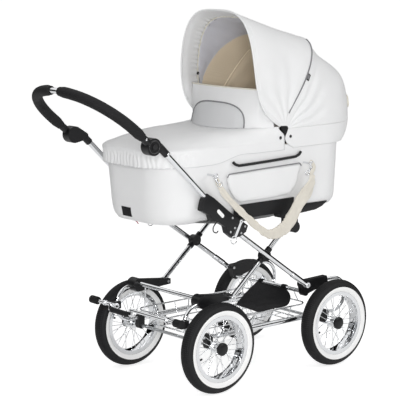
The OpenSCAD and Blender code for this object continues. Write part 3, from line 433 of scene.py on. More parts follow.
def tube(line: Sequence[Vector], radius: float | Sequence[float], closed: bool = False,
         fine: int = 4) -> bmesh.types.BMesh:
    """Makes a round rod along a line.

    Args:
        line: the rod's middle, in metres.
        radius: its radius in metres, or one for each point.
        closed: whether the line runs back to its start.
        fine: how round the rod is.

    Returns:
        The mesh, with its ends closed.
    """
    curve = bpy.data.curves.new("rod", "CURVE")
    curve.dimensions = "3D"
    curve.bevel_depth = 1.0
    curve.bevel_resolution = fine
    curve.use_fill_caps = not closed
    curve.twist_mode = "MINIMUM"
    spline = curve.splines.new("POLY")
    spline.points.add(len(line) - 1)
    spline.use_cyclic_u = closed
    sizes = [radius] * len(line) if isinstance(radius, float) else radius
    for point, place, size in zip(spline.points, line, sizes):
        point.co = (*place, 1.0)
        point.radius = size
    holder = bpy.data.objects.new("rod", curve)
    bpy.context.scene.collection.objects.link(holder)
    graph = bpy.context.evaluated_depsgraph_get()
    shape = bpy.data.meshes.new_from_object(holder.evaluated_get(graph))
    bm = bmesh.new()
    bm.from_mesh(shape)
    bpy.data.objects.remove(holder)
    bpy.data.curves.remove(curve)
    bpy.data.meshes.remove(shape)
    close(bm)
    return bm


def ribbon(line: Sequence[Vector], widths: Sequence[float], thick: Sequence[float], out: Vector,
           cols: int = 90) -> bmesh.types.BMesh:
    """Makes a soft flat band along a line.

    Args:
        line: the band's middle.
        widths: half of its width at each point.
        thick: half of its thickness at each point.
        out: the way its flat side looks.
        cols: faces along it.

    Returns:
        The closed mesh.
    """
    facts = [Vector((w, t, 0)) for w, t in zip(widths, thick)]

    def section(along: float, round_it: float) -> Vector:
        """Point of the band's skin.

        Args:
            along: share along the band.
            round_it: share round its section.

        Returns:
            The point.
        """
        here = course(line, along)
        way = (course(line, along + 0.01) - course(line, along - 0.01)).normalized()
        side = out.cross(way).normalized()
        size = course(facts, along)
        a = 2 * math.pi * round_it
        flat = math.copysign(abs(math.cos(a)) ** 0.5, math.cos(a))
        full = math.copysign(abs(math.sin(a)) ** 0.8, math.sin(a))
        return here + side * size.x * flat + out * size.y * full

    bm = grid(section, cols, 28)
    bmesh.ops.remove_doubles(bm, verts=bm.verts, dist=1e-5)
    bmesh.ops.holes_fill(bm, edges=[e for e in bm.edges if e.is_boundary], sides=0)
    bmesh.ops.recalc_face_normals(bm, faces=bm.faces)
    return bm


def joined(parts: Iterable[bmesh.types.BMesh]) -> bmesh.types.BMesh:
    """Gathers several meshes into one.

    Args:
        parts: the meshes, which are used up.

    Returns:
        The whole.
    """
    whole = bmesh.new()
    for part in parts:
        shape = bpy.data.meshes.new("gather")
        part.to_mesh(shape)
        part.free()
        whole.from_mesh(shape)
        bpy.data.meshes.remove(shape)
    return whole


def dome(at: Vector, out: Vector, radius: float, rise: float) -> bmesh.types.BMesh:
    """Makes a low round head, such as a rivet's or a snap's.

    Args:
        at: the middle of its foot.
        out: the way it stands.
        radius: its radius.
        rise: its height.

    Returns:
        The mesh.
    """
    bm = bmesh.new()
    bmesh.ops.create_uvsphere(bm, u_segments=20, v_segments=12, radius=1.0)
    turn = out.normalized().to_track_quat("Z", "Y").to_matrix().to_4x4()
    size = Matrix.Diagonal((radius, radius, rise, 1.0))
    bmesh.ops.transform(bm, matrix=Matrix.Translation(at) @ turn @ size, verts=bm.verts)
    bmesh.ops.recalc_face_normals(bm, faces=bm.faces)
    return bm


def slab(corners: Sequence[Vector], out: Vector, thick: float,
         soften: float) -> bmesh.types.BMesh:
    """Makes a plate of an outline with rounded edges.

    Args:
        corners: the outline, on the plate's inner face.
        out: the way the plate's outer face looks.
        thick: its thickness.
        soften: how far the edges are rounded.

    Returns:
        The mesh.
    """
    bm = bmesh.new()
    face = bm.faces.new([bm.verts.new(c) for c in corners])
    lifted = bmesh.ops.extrude_face_region(bm, geom=[face])["geom"]
    top = [g for g in lifted if isinstance(g, bmesh.types.BMVert)]
    bmesh.ops.translate(bm, vec=out * thick, verts=top)
    bmesh.ops.recalc_face_normals(bm, faces=bm.faces)
    bmesh.ops.bevel(bm, geom=bm.edges[:], offset=soften, segments=3, profile=0.5, affect="EDGES",
                    material=-1, clamp_overlap=True)
    return bm


def end_plan(start: float, corner: float, end: float, half: float,
             flat: float) -> list[tuple[float, float]]:
    """Draws the plan of a rounded end, from one side round to the other.

    Args:
        start: where the straight sides start.
        corner: where the round corners start.
        end: how far the end reaches.
        half: half of the width.
        flat: half of the end's flat stretch.

    Returns:
        The points as X and Y.
    """
    side = [(x, half) for x in steps(5, start, corner)]
    for i in range(1, 9):
        a = math.radians(90 * i / 8)
        side.append((corner + (end - corner) * math.sin(a), flat + (half - flat) * math.cos(a)))
    across = [(end, k * flat) for k in (0.5, 0.0, -0.5)]
    return side + across + [(x, -y) for x, y in reversed(side)]


@dataclass
class Bench:
    """Where the pieces are put together.

    Args:
        shift: how far the source's X lies from the frame's, in millimetres.
        paints: the made materials.
    """

    shift: float
    paints: dict[Trim, bpy.types.Material]

    def at(self, x: float, y: float, z: float) -> Vector:
        """Carries a point of the source into the frame."""
        return Vector(((x + self.shift) * MM, y * MM, z * MM))

    def source(self, place: Vector) -> Vector:
        """Carries a point of the frame back to the source's millimetres."""
        return Vector((place.x / MM - self.shift, place.y / MM, place.z / MM))

    def hoop(self, x: float, y: float, z: float, wide: float, high: float,
             count: int) -> list[Vector]:
        """Lays points round an upright ring.

        Args:
            x: the ring's middle.
            y: the side it stands at.
            z: the height of its middle.
            wide: its half width.
            high: its half height.
            count: how many points.

        Returns:
            The points, in the frame.
        """
        return [self.at(x + wide * math.cos(a), y, z + high * math.sin(a)) for a in turns(count)]

    def piece(self, name: str, bm: bmesh.types.BMesh, trims: Sequence[Trim], body: str | None,
              instead: Sequence[str] = ()) -> bpy.types.Object:
        """Makes a finished piece of a mesh.

        Args:
            name: the piece's name.
            bm: its mesh, which is used up.
            trims: its finishes, in the order of the faces' material numbers.
            body: the body it rides on, or None to leave it unattached.
            instead: the source's nodes that it stands for.

        Returns:
            The piece.
        """
        shape = bpy.data.meshes.new(name)
        bm.to_mesh(shape)
        bm.free()
        shape.polygons.foreach_set("use_smooth", [True] * len(shape.polygons))
        for trim in trims:
            shape.materials.append(self.paints[trim])
        made = bpy.data.objects.new(name, shape)
        bpy.context.scene.collection.objects.link(made)
        if instead:
            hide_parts(*instead)
        if body:
            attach(made, body)
        LOG.info("%s: %d faces on %s", name, len(shape.polygons), body)
        return made

    @staticmethod
    def thicken(made: bpy.types.Object, thick: float, offset: float = -1.0) -> None:
        """Gives an open sheet its thickness.

        Args:
            made: the sheet.
            thick: its thickness, in metres.
            offset: -1 to thicken it behind its faces, 1 in front of them.
        """
        wall = made.modifiers.new("thickness", "SOLIDIFY")
        wall.thickness = thick
        wall.offset = offset
        wall.use_rim = True

    @staticmethod
    def crisp(made: bpy.types.Object, degrees: float = 35.0) -> None:
        """Keeps a piece's hard edges hard."""
        split = made.modifiers.new("edges", "EDGE_SPLIT")
        split.split_angle = math.radians(degrees)

    @staticmethod
    def cloth(made: bpy.types.Object, length: float, held: str, rests_on: Sequence[str],
              skins: int = 1) -> None:
        """Takes a sheet and the size of its cut but does nothing with them.

        Args:
            made: the sheet; not used.
            length: the cut's longer side, in metres; not used.
            held: how the sheet is held; not used.
            rests_on: what holds it; not used.
            skins: 2 where the mesh has both faces of the cloth; not used.
        """

    def stuff(self, made: bpy.types.Object, voxel: float, pressure: float, most: float) -> None:
        """Swells a closed pad with a short run of cloth.

        Args:
            made: the pad.
            voxel: size of its even faces, in metres.
            pressure: how hard it is blown.
            most: the furthest a point may move, in metres.
        """
        remesh = made.modifiers.new("even", "REMESH")
        remesh.mode = "VOXEL"
        remesh.voxel_size = voxel
        graph = bpy.context.evaluated_depsgraph_get()
        shape = bpy.data.meshes.new_from_object(made.evaluated_get(graph))
        made.modifiers.clear()
        made.data = shape
        shape.polygons.foreach_set("use_smooth", [True] * len(shape.polygons))
        rest = [v.co.copy() for v in shape.vertices]
        cloth = made.modifiers.new("stuffing", "CLOTH")
        cloth.settings.use_pressure = True
        cloth.settings.uniform_pressure_force = pressure
        cloth.settings.effector_weights.gravity = 0.0
        scene = bpy.context.scene
        for frame in range(1, 21):
            scene.frame_set(frame)
        swelled = made.evaluated_get(bpy.context.evaluated_depsgraph_get()).to_mesh()
        moved = [v.co - r for v, r in zip(swelled.vertices, rest)]
        made.modifiers.clear()
        scene.frame_set(1)
        for v, r, m in zip(shape.vertices, rest, moved):
            v.co = r + (m if m.length <= most else m.normalized() * most)
        shape.update()


@dataclass
class RunningGear:
    """Tyres of the four wheels.

    Args:
        bench: where the pieces are put together.
        section: radius of the tyre's section.
        ring: radius of the line through the sections' middles.
        tread_depth: depth of the grooves.
        groove: half of a groove's width.
        crown_edge: radius past which the tyre has tread.
        wall_edge: radius up to which its wall is white.
        valve_tip: radius inside which only the valve reaches.
        blocks: tread blocks round the tyre.
        bands: turns about the section's middle, from bead to crown, in degrees.
    """

    bench: Bench
    section: float = 27.0
    ring: float = 132.0
    tread_depth: float = 1.3
    groove: float = 0.7
    crown_edge: float = 150.4
    wall_edge: float = 134.4
    valve_tip: float = 97.0
    blocks: int = 132
    bands: tuple[float, ...] = (-125, -117, -108, -98, -90, -85, -82, -72, -62, -53, -46, -32,
                                -18, -5)

    def build(self) -> None:
        """Makes the four tyres."""
        for wheel in WHEELS:
            self.tyre(wheel)

    def profile(self) -> list[tuple[float, float]]:
        """Lays out the tyre's section.

        Returns:
            Radius and side of each point, over the crown from bead to bead.
        """
        angles = [*self.bands, *[-a for a in reversed(self.bands)]]
        spots = []
        for degrees in angles:
            turn = math.radians(degrees)
            full = self.section - (self.tread_depth if abs(degrees) < 50 else 0.0)
            full += 0.35 if 82 <= abs(degrees) <= 117 else 0.0
            full = min(full, self.section)
            spots.append((self.ring + full * math.cos(turn), full * math.sin(turn)))
        return spots

    def tyre(self, wheel: str) -> None:
        """Makes one tyre with its tread, white wall and valve.

        Args:
            wheel: which wheel it is on.
        """
        low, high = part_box(f"tyre_{wheel}")
        centre = (low + high) / 2
        bm = bmesh.new()
        verts = [bm.verts.new(centre + Vector((r * MM, y * MM, 0))) for r, y in self.profile()]
        edges = [bm.edges.new(pair) for pair in zip(verts, verts[1:])]
        bmesh.ops.spin(bm, geom=verts + edges, cent=centre, axis=(0, 1, 0), angle=2 * math.pi,
                       steps=self.blocks, use_merge=True)
        close(bm)
        reach = [((f.calc_center_median() - centre).xz.length, f) for f in bm.faces]
        for radius, f in reach:
            f.material_index = 1 if radius < self.wall_edge * MM else 0
        crown = [f for radius, f in reach if radius > self.crown_edge * MM]
        bmesh.ops.inset_individual(bm, faces=crown, thickness=self.groove * MM,
                                   depth=self.tread_depth * MM)
        whole = joined([self.valve(wheel, centre), bm])
        made = self.bench.piece(f"air_tyre_{wheel}", whole, (Trim.TYRE, Trim.WHITEWALL),
                                f"wheel_{wheel}", [f"tyre_{wheel}"])
        self.bench.crisp(made, 40.0)

    def valve(self, wheel: str, centre: Vector) -> bmesh.types.BMesh:
        """Makes the valve where the source's tyre has it.

        Args:
            wheel: which wheel it is on.
            centre: the wheel's middle.

        Returns:
            The mesh.
        """
        inner = [v.co - centre for v in bpy.data.objects[f"tyre_{wheel}"].data.vertices
                 if (v.co - centre).xz.length < self.valve_tip * MM]
        way = sum(inner, Vector()) / len(inner)
        way.y = 0.0
        way.normalize()
        runs = (106, 99, 98, 86, 85, 78, 76.5)
        sizes = (4.0, 4.0, 3.2, 3.0, 3.7, 3.6, 2.2)
        return tube([centre + way * r * MM for r in runs], [s * MM for s in sizes])


@dataclass
class Handle:
    """Bow, grips and the swivels' fittings.

    Args:
        bench: where the pieces are put together.
        knob: X and Z of the swivels' axis.
        slope: slope of the bow, in degrees.
        reach: how far the bow reaches from that axis.
        bend: radius of its corners.
        side: how far its arms lie from the middle.
        turn: turn of its corners, in degrees.
        tube_radius: radius of its tube.
        grip_start: where a grip starts, along the arm.
        grip_split: gap between the grips at the middle.
        grip_radius: radius of a grip.
        grip_taper: how much thinner its ends are.
    """

    bench: Bench
    knob: tuple[float, float] = (-553.502, 876.09)
    slope: float = 39.0
    reach: float = 287.0
    bend: float = 185.0
    side: float = 225.6
    turn: float = 70.0
    tube_radius: float = 10.0
    grip_start: float = 55.0
    grip_split: float = 50.0
    grip_radius: float = 18.4
    grip_taper: float = 3.2

    def on_bow(self, reach: float, side: float) -> Vector:
        """Carries a reach from the swivel and a side into the frame."""
        c, s = math.cos(math.radians(self.slope)), math.sin(math.radians(self.slope))
        return self.bench.at(self.knob[0] - reach * c, side, self.knob[1] + reach * s)

    def half_line(self) -> list[Vector]:
        """Lays out the left half of the bow's line.

        Returns:
            The points from the swivel to the middle, in the frame.
        """
        crown = self.side - self.bend * (1 - math.cos(math.radians(self.turn)))
        crown /= math.sin(math.radians(90 - self.turn))
        rise = crown * (1 - math.cos(math.radians(90 - self.turn)))
        straight = self.reach - self.bend * math.sin(math.radians(self.turn)) - rise
        spots = [(25.0, self.side), (40.0, self.side), (self.grip_start, self.side)]
        if straight > self.grip_start + 5:
            spots += [(x, self.side) for x in steps(5, self.grip_start, straight)[1:]]
        for i in range(1, 15):
            a = math.radians(90 - self.turn * i / 14)
            spots.append((straight + self.bend * math.cos(a),
                          self.side - self.bend * (1 - math.sin(a))))
        for i in range(1, 9):
            a = math.radians(90 - self.turn) * (1 - i / 8)
            spots.append((self.reach - crown * (1 - math.cos(a)), crown * math.sin(a)))
        return [self.on_bow(*spot) for spot in spots]

    def build(self) -> None:
        """Makes the bow, its grips and the fittings of the swivels."""
        half = self.half_line()
        mirrored = [Vector((p.x, -p.y, p.z)) for p in reversed(half[:-1])]
        whole = even(half + mirrored, 150)
        self.bench.piece("bow_tube", tube(whole, self.tube_radius * MM, fine=6), [Trim.CHROME],
                         "bow", ["push_bow"])
        for name, sign in SIDES.items():
            run = [p for p in whole if sign * p.y >= (self.grip_split / 2 - 1) * MM]
            run = run if sign > 0 else run[::-1]
            swivel = self.on_bow(0, sign * self.side)
            clear = (self.grip_start + 5) * MM
            run = [p for p in run if (p - swivel).length > clear]
            laid = even([self.on_bow(self.grip_start, sign * self.side)] + run, 70)
            ends = [1 - ease(0, 5, min(i, 69 - i)) for i in range(70)]
            sizes = [(self.grip_radius - self.grip_taper * end) * MM for end in ends]
            grip = self.bench.piece(f"foam_grip_{name}", tube(laid, sizes, fine=7), [Trim.FOAM],
                                    "bow", [f"grip_{name}"])
        self.fittings()

    def fittings(self) -> None:
        """Makes the screws and rings of the swivels."""
        screws, rings, feet = [], [], []
        x, z = self.knob
        for sign in SIDES.values():
            out = Vector((0, sign, 0))
            screws.append(dome(self.on_bow(44, sign * 237.2), out, 0.0045, 0.0022))
            rings.append(tube(self.bench.hoop(x, sign * 236.2, z, 21, 21, 40), 0.0022, closed=True))
            feet.append(dome(self.bench.at(-487, sign * 226.2, 846), out, 0.005, 0.0025))
        self.bench.piece("swivel_screws", joined(screws), [Trim.CHROME], "bow")
        self.bench.piece("swivel_rings", joined(rings), [Trim.GLOSS], "bow")
        self.bench.piece("housing_screws", joined(feet), [Trim.CHROME], "handle")


@dataclass
class Hood:
    """Folding hood: front and rear canopy, skirt, lining and trim.

    Args:
        bench: where the pieces are put together.
        pivot: X and Z of the ribs' axis.
        half: half of the hood's width.
        rise: height of the front arch above the axis.
        reach: how far the arch lies in front of the axis.
        mid_slope: slope of the middle rib, in degrees.
        mid_reach: how far the middle rib reaches from the axis.
        back: how far the hood reaches behind the axis.
        bow: power of the round over the hood's top.
        swell: waves that the rear canopy is filled out by.
        skirt_top: height of the skirt's upper edge.
        skirt_low: height of its lower edge.
        head: X of the tub's head end.
        corner: radius of the tub's corners.
        flat: half of the flat stretch of the head end.
        gather: width of the gathered band inside the front arch.
        vent: half width, half height and height above ground of the vent.
        edges: the edges of the canopies, worked out once.
    """

    bench: Bench
    pivot: tuple[float, float] = (65.0, 885.0)
    half: float = 205.0
    rise: float = 415.0
    reach: float = 148.0
    mid_slope: float = 57.5
    mid_reach: float = 369.0
    back: float = 408.0
    bow: float = 3.4
    swell: tuple[float, float, float] = (6.0, -20.0, -8.0)
    skirt_top: float = 886.0
    skirt_low: float = 815.0
    head: float = 404.0
    corner: float = 132.0
    flat: float = 69.0
    gather: float = 75.0
    vent: tuple[float, float, float] = (146.0, 37.0, 951.0)
    edges: dict[str, list[Vector]] = field(default_factory=dict)

    def stations(self) -> list[tuple[float, float]]:
        """Lays out the stations across the hood.

        Returns:
            Shares of its height and of its half width, from the left foot to the right one.
        """
        p = self.bow
        half = [(h, (1 - h ** p) ** (1 / p)) for h in
                (0.03, 0.1, 0.18, 0.27, 0.37, 0.47, 0.57, 0.67, 0.76, 0.84)]
        half += [((1 - y ** p) ** (1 / p), y) for y in (0.68, 0.54, 0.38, 0.2)]
        return half + [(1.0, 0.0)] + [(h, -y) for h, y in reversed(half)]

    def plan(self, end_in: float, side_in: float) -> list[tuple[float, float]]:
        """Plan of the skirt, drawn in at its end and sides."""
        return end_plan(self.pivot[0] + 12, self.head - self.corner,
                        self.pivot[0] + self.back - end_in, self.half - side_in, self.flat)

    def lay_edges(self) -> None:
        """Works out the front, middle and back edges, left foot to right foot."""
        px, pz = self.pivot
        front, middle = [], []
        for h, y in self.stations():
            lean = 1 - math.exp(-h / 0.14)
            front.append(Vector((px - self.reach * lean, self.half * y, pz + self.rise * h)))
            turn = math.radians(self.mid_slope + 50 * math.exp(-h / 0.15))
            r = self.mid_reach * h
            middle.append(Vector((px + r * math.cos(turn), self.half * y, pz + r * math.sin(turn))))
        back = [Vector((x, y, self.skirt_top)) for x, y in self.plan(0, 0)]
        self.edges = {"front": front, "middle": middle, "back": back}

    def polar(self, p: Vector) -> tuple[float, float]:
        """Turn and distance of a point about the pivot."""
        dx, dz = p.x - self.pivot[0], p.z - self.pivot[1]
        return math.atan2(dz, dx), math.hypot(dx, dz)

    def fan(self, p: Vector, q: Vector, t: float, inset: float,
            swell: tuple[float, ...] = ()) -> Vector:
        """Finds a point between two edges, turned about the pivot.

        Args:
            p: point on the first edge.
            q: point on the second edge.
            t: share of the way between them.
            inset: how far the point is drawn in, in millimetres.
            swell: heights of the waves that it is filled out by.

        Returns:
            The point.
        """
        (a, r), (b, s) = self.polar(p), self.polar(q)
        turn = a + (b - a) * t
        waves = sum(w * math.sin(math.pi * (i + 1) * t) for i, w in enumerate(swell))
        full = waves * min(r, s) / self.back
        far = max(r + (s - r) * t + full - inset, 2.0)
        wide = (p.y + (q.y - p.y) * t) * (1 - inset / self.half)
        x, z = self.pivot
        return Vector((x + far * math.cos(turn), wide, z + far * math.sin(turn)))

    def inner(self, edge: str, share: float, inset: float) -> Vector:
        """Point on an edge, drawn in."""
        p = course(self.edges[edge], share)
        return self.fan(p, p, 0.0, inset)

    def front_point(self, along: float, across: float, inset: float = 0.0) -> Vector:
        """Point of the cloth drawn from the front arch to the middle rib."""
        p, q = self.inner("front", along, inset), self.inner("middle", along, inset)
        return p.lerp(q, across)

    def rear_point(self, along: float, across: float, inset: float = 0.0) -> Vector:
        """Point of the cloth filled out from the middle rib to the skirt."""
        p, q = course(self.edges["middle"], along), course(self.edges["back"], along)
        return self.fan(p, q, across, inset, self.swell)

    def placed(self, point: Vector) -> Vector:
        """Carries a source point into the frame."""
        return self.bench.at(point.x, point.y, point.z)

    def fold_front(self, made: bpy.types.Object) -> bpy.types.Object:
        """Bakes the placement of a piece of the front canopy into its mesh.

        Args:
            made: the piece.

        Returns:
            The piece.
        """
        hub = self.bench.at(self.pivot[0], 0, self.pivot[1])
        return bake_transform(made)

    def fold_rear(self, made: bpy.types.Object) -> bpy.types.Object:
        """Bakes the placement of a piece of the rear canopy into its mesh.

        Args:
            made: the piece.

        Returns:
            The piece.
        """
        hub = self.bench.at(self.pivot[0], 0, self.pivot[1])
        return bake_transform(made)

    def build(self) -> None:
        """Makes the hood."""
        self.lay_edges()
        self.canopies()
        self.lining()
        self.skirt()
        self.trim()
        self.small_trim()

    def heart(self) -> Vector:
        """Point inside the hood that its cloth looks away from."""
        return self.bench.at(self.pivot[0] + 60, 0, self.pivot[1] + 60)

    def canopies(self) -> None:
        """Makes the two outer canopies."""
        for name, point, folds, length, ribs, fold in (
                ("front", self.front_point, self.front_folds, 1.30, ("front_rib", "middle_rib"),
                 self.fold_front),
                ("rear", self.rear_point, self.rear_folds, 1.25, ("middle_rib", "hood_skirt"),
                 self.fold_rear)):
            bm = grid(lambda u, v: self.placed(point(u, v)), 150, 46)
            face_away(bm, self.heart())
            ruffle(bm, folds)
            made = self.bench.piece(f"hood_{name}_cloth", bm, [Trim.LEATHERETTE], None,
                                    [f"{name}_canopy"])
            self.bench.thicken(made, 0.0016)
            self.bench.cloth(made, length, "stretched", ribs)
            fold(made)

    def front_folds(self, place: Vector) -> float:
        """Soft hollows of the front canopy.

        Args:
            place: a point of it, in the frame.

        Returns:
            How far the point moves outwards, in metres.
        """
        p = self.bench.source(place)
        turn, far = self.polar(p)
        share = ease(0.0, 1.0, (math.radians(109) - turn) / math.radians(52))
        hollow = -3.2 * math.sin(math.pi * share) * ease(60, 220, far)
        pull = 1.5 * math.sin(turn * 17 + 1.5 * noise.noise(p * 0.012)) * (1 - ease(90, 330, far))
        crumple = 1.6 * noise.noise(p * 0.016) * math.sin(math.pi * share)
        return (hollow + pull * ease(20, 60, far) + crumple) * MM

    def rear_folds(self, place: Vector) -> float:
        """Creases of the rear canopy.

        Args:
            place: a point of it, in the frame.

        Returns:
            How far the point moves outwards, in metres.
        """
        p = self.bench.source(place)
        turn, far = self.polar(p)
        keep = ease(2, 9, math.degrees(turn)) * ease(2, 8, self.mid_slope - math.degrees(turn))
        sides = ease(60, 180, abs(p.y))
        crease = 2.6 * math.sin(turn * 21 + 2.4 * noise.noise(p * 0.010))
        crease *= 1 - ease(120, 420, far)
        crumple = 2.2 * noise.noise(p * 0.013)
        return (crease * sides * ease(15, 70, far) + crumple) * keep * MM

    def band(self, u: float) -> float:
        """Share of the front canopy that the gathered band takes."""
        span = (course(self.edges["middle"], u) - course(self.edges["front"], u)).length
        return min(self.gather / max(span, 1.0), 0.62)

    def seam(self, u: float) -> float:
        """Share of the front canopy where the lining turns from grey to beige."""
        high = max((min(u, 1 - u) - 0.165) / 0.335, 0.0)
        return 0.45 + 0.52 * high ** 1.25

    def lining(self) -> None:
        """Makes the cloth seen inside the hood."""

        def gathered(u: float, v: float) -> Vector:
            """Front band of the lining, gathered on an elastic."""
            wave = 2.0 * math.sin(u * 2 * math.pi * 58 + 5 * noise.noise(Vector((u * 23, 0, 0))))
            inset = 0.4 + 5.4 * ease(0.0, 0.35, v) + wave * ease(0.45, 1.0, v)
            return self.placed(self.front_point(u, self.band(u) * v, inset))

        self.line("gather", grid(gathered, 620, 10), [Trim.LEATHERETTE], (1.30, "gathered"),
                  ["front_rib"], self.fold_front)

        def on_canopy(u: float, v: float) -> tuple[float, float]:
            """Shares of the canopy at shares of its lining."""
            along = 0.06 + 0.88 * u
            start = self.band(along)
            return along, start + (0.99 - start) * v

        def front_in(u: float, v: float) -> Vector:
            """Lining of the front canopy, slack above its seam and smooth below it.

            Args:
                u: share along.
                v: share across.

            Returns:
                The point, in the frame.
            """
            along, across = on_canopy(u, v)
            slack = ease(0.0, 0.1, self.seam(along) - across)
            wave = 2.4 * noise.noise(Vector((along * 26, v * 4, 0)))
            wave += 0.8 * math.sin(along * 150 + 9 * v)
            return self.placed(self.front_point(along, across, 7.0 + (1.6 + wave) * slack))

        bm = grid(front_in, 260, 40)
        laid = bm.loops.layers.uv["cloth"]
        for f in bm.faces:
            middle = sum((loop[laid].uv for loop in f.loops), Vector((0, 0))) / len(f.loops)
            along, across = on_canopy(*middle)
            f.material_index = 1 if across > self.seam(along) else 0
        self.line("front_lining", bm, [Trim.LINING, Trim.BEIGE], (1.25, "gathered"),
                  ["front_rib", "middle_rib"], self.fold_front)

        def rear_in(u: float, v: float) -> Vector:
            """Lining of the rear canopy, with quilted ribs."""
            wave = math.sin(v * 2 * math.pi * 3.0) + 0.8 * noise.noise(Vector((u * 9, v * 5, 2)))
            return self.placed(self.rear_point(u, 0.012 + 0.985 * v, 5.4 + wave))

        self.line("rear_lining", grid(rear_in, 150, 60), [Trim.BEIGE], (1.2, "stretched"),
                  ["middle_rib"], self.fold_rear)

    def line(self, name: str, bm: bmesh.types.BMesh, trims: Sequence[Trim],
             cut: tuple[float, str], rests_on: Sequence[str],
             fold: Callable[[bpy.types.Object], bpy.types.Object]) -> None:
        """Finishes a sheet that looks into the hood.

        Args:
            name: its name after the hood's.
            bm: its mesh.
            trims: its finishes.
            cut: length of its cut in metres, and how it is held.
            rests_on: what holds it.
            fold: the step that bakes its placement into its mesh.
        """
        face_away(bm, self.heart(), inward=True)
        made = self.bench.piece(f"hood_{name}", bm, trims, None)
        self.bench.thicken(made, 0.0008, 1.0)
        self.bench.cloth(made, *cut, rests_on)
        fold(made)

    def skirt(self) -> None:
        """Makes the skirt that the hood is zipped to."""
        rows = [(self.skirt_top - 0.3, 0.0, 0.0), (868.0, 4.0, -0.4), (850.0, 10.0, -0.2),
                (832.0, 23.0, 0.2), (self.skirt_low + 1, 40.0, 0.6)]
        nets = [[Vector((x, y, z)) for x, y in self.plan(end, side)] for z, end, side in rows]

        def wall(u: float, v: float) -> Vector:
            """Point of the skirt, with its front lower corners rounded off.

            Args:
                u: share along.
                v: share across.

            Returns:
                The point, in the frame.
            """
            p = course([course(net, u) for net in nets], v)
            front = 1 - ease(0.0, 0.10, min(u, 1 - u))
            hollow = 14 * ease(0.0, 0.45, v) * (1 - ease(0.5, 0.9, v))
            p.x += front * (24 * ease(0.62, 1.0, v) ** 2 - hollow)
            return self.placed(p)

        bm = grid(wall, 170, 20)
        face_away(bm, self.bench.at(250, 0, 850))
        ruffle(bm, lambda place: 0.9 * noise.noise(self.bench.source(place) * 0.02) * MM)
        made = self.bench.piece("hood_skirt_cloth", bm, [Trim.LEATHERETTE], "bassinet",
                                ["hood_skirt"])
        self.bench.thicken(made, 0.002)
        self.bench.cloth(made, 1.1, "stretched", ["cot_tub"])

    def front_line(self, across: Callable[[float], float], inset: float, low: float = 0.0,
                   high: float = 1.0, count: int = 160) -> list[Vector]:
        """Lays points along the front canopy.

        Args:
            across: share of the way from the front arch, at a share along it.
            inset: how far inside the cloth, in millimetres.
            low: share along the arch where the line starts.
            high: share where it ends.
            count: how many points.

        Returns:
            The points, in the frame.
        """
        return [self.placed(self.front_point(u, across(u), inset))
                for u in steps(count, low, high)]

    def middle_line(self, low: float, high: float, count: int, lift: float) -> list[Vector]:
        """Points along the middle rib, lifted off the cloth by millimetres."""
        return [self.placed(self.inner("middle", u, -lift)) for u in steps(count, low, high)]

    def front_trim(self, name: str, bm: bmesh.types.BMesh, trim: Trim,
                   instead: Sequence[str] = ()) -> None:
        """Makes a trim of the front canopy and bakes its placement into its mesh."""
        self.fold_front(self.bench.piece(f"hood_{name}", bm, [trim], None, instead))

    def trim(self) -> None:
        """Makes the bindings, the piping and the band's snaps."""
        edge = self.front_line(lambda u: 0.008, 1.2)
        self.front_trim("front_binding", tube(edge, 0.0034), Trim.LEATHERETTE, ["front_rib"])
        binding = self.front_line(lambda u: self.band(u) + 0.004, 6.6)
        self.front_trim("inner_binding", tube(binding, 0.0030), Trim.CREAM)
        tape = self.front_line(lambda u: self.band(u) + 0.026, 6.6)
        self.front_trim("inner_tape", tube(tape, 0.0022), Trim.PIPING)
        seam = self.front_line(self.seam, 7.0, 0.17, 0.83, 100)
        self.front_trim("lining_seam", tube(seam, 0.0012), Trim.BEIGE)
        casing = self.front_line(lambda u: 0.998, 6.0, 0.07, 0.93)
        self.bench.piece("hood_rib_casing", tube(casing, 0.0046), [Trim.BEIGE], "hood_middle",
                         ["middle_rib"])
        snaps = []
        for u, side in ((0.18, -1), (0.82, 1)):
            spot = self.placed(self.front_point(u, 0.312, 9.0))
            snaps.append(dome(spot, Vector((0, side, 0)), 0.0062, 0.003))
        self.front_trim("band_snaps", joined(snaps), Trim.GLOSS)
        hem = self.front_line(lambda u: 0.085, -0.1)
        self.front_trim("hem_seam", tube(hem, 0.0007), Trim.LEATHERETTE)
        for name, (low, high) in {"left": (0.059, 0.40), "right": (0.60, 0.941)}.items():
            piping = self.middle_line(low, high, 90, 0.9)
            self.bench.piece(f"hood_piping_{name}", tube(piping, 0.0023), [Trim.PIPING],
                             "hood_middle")
        top = self.middle_line(0.40, 0.60, 60, 0.2)
        self.bench.piece("hood_top_seam", tube(top, 0.0016), [Trim.LEATHERETTE], "hood_middle")

    def small_trim(self) -> None:
        """Makes the hood's tag, snaps, pivot covers and vent."""
        self.tag()
        snaps, covers = [], []
        outline = ((37, 898), (60, 900), (84, 904), (78, 888), (68, 862), (63, 856), (57, 868),
                   (46, 888))
        for sign in SIDES.values():
            out = Vector((0, sign, 0))
            snaps += [dome(self.bench.at(x, sign * y, z), out, 0.0062, 0.0024)
                      for x, y, z in ((41.5, 203.0, 855.0), (88.0, 205.2, 857.0))]
            corners = [self.bench.at(x, sign * 199.6, z) for x, z in outline]
            covers.append(slab(corners, out, 0.0042, 0.0008))
        self.bench.piece("hood_snaps", joined(snaps), [Trim.GLOSS], "bassinet")
        made = self.bench.piece("pivot_covers", joined(covers), [Trim.PLASTIC], "bassinet")
        self.bench.crisp(made)
        self.back_vent()

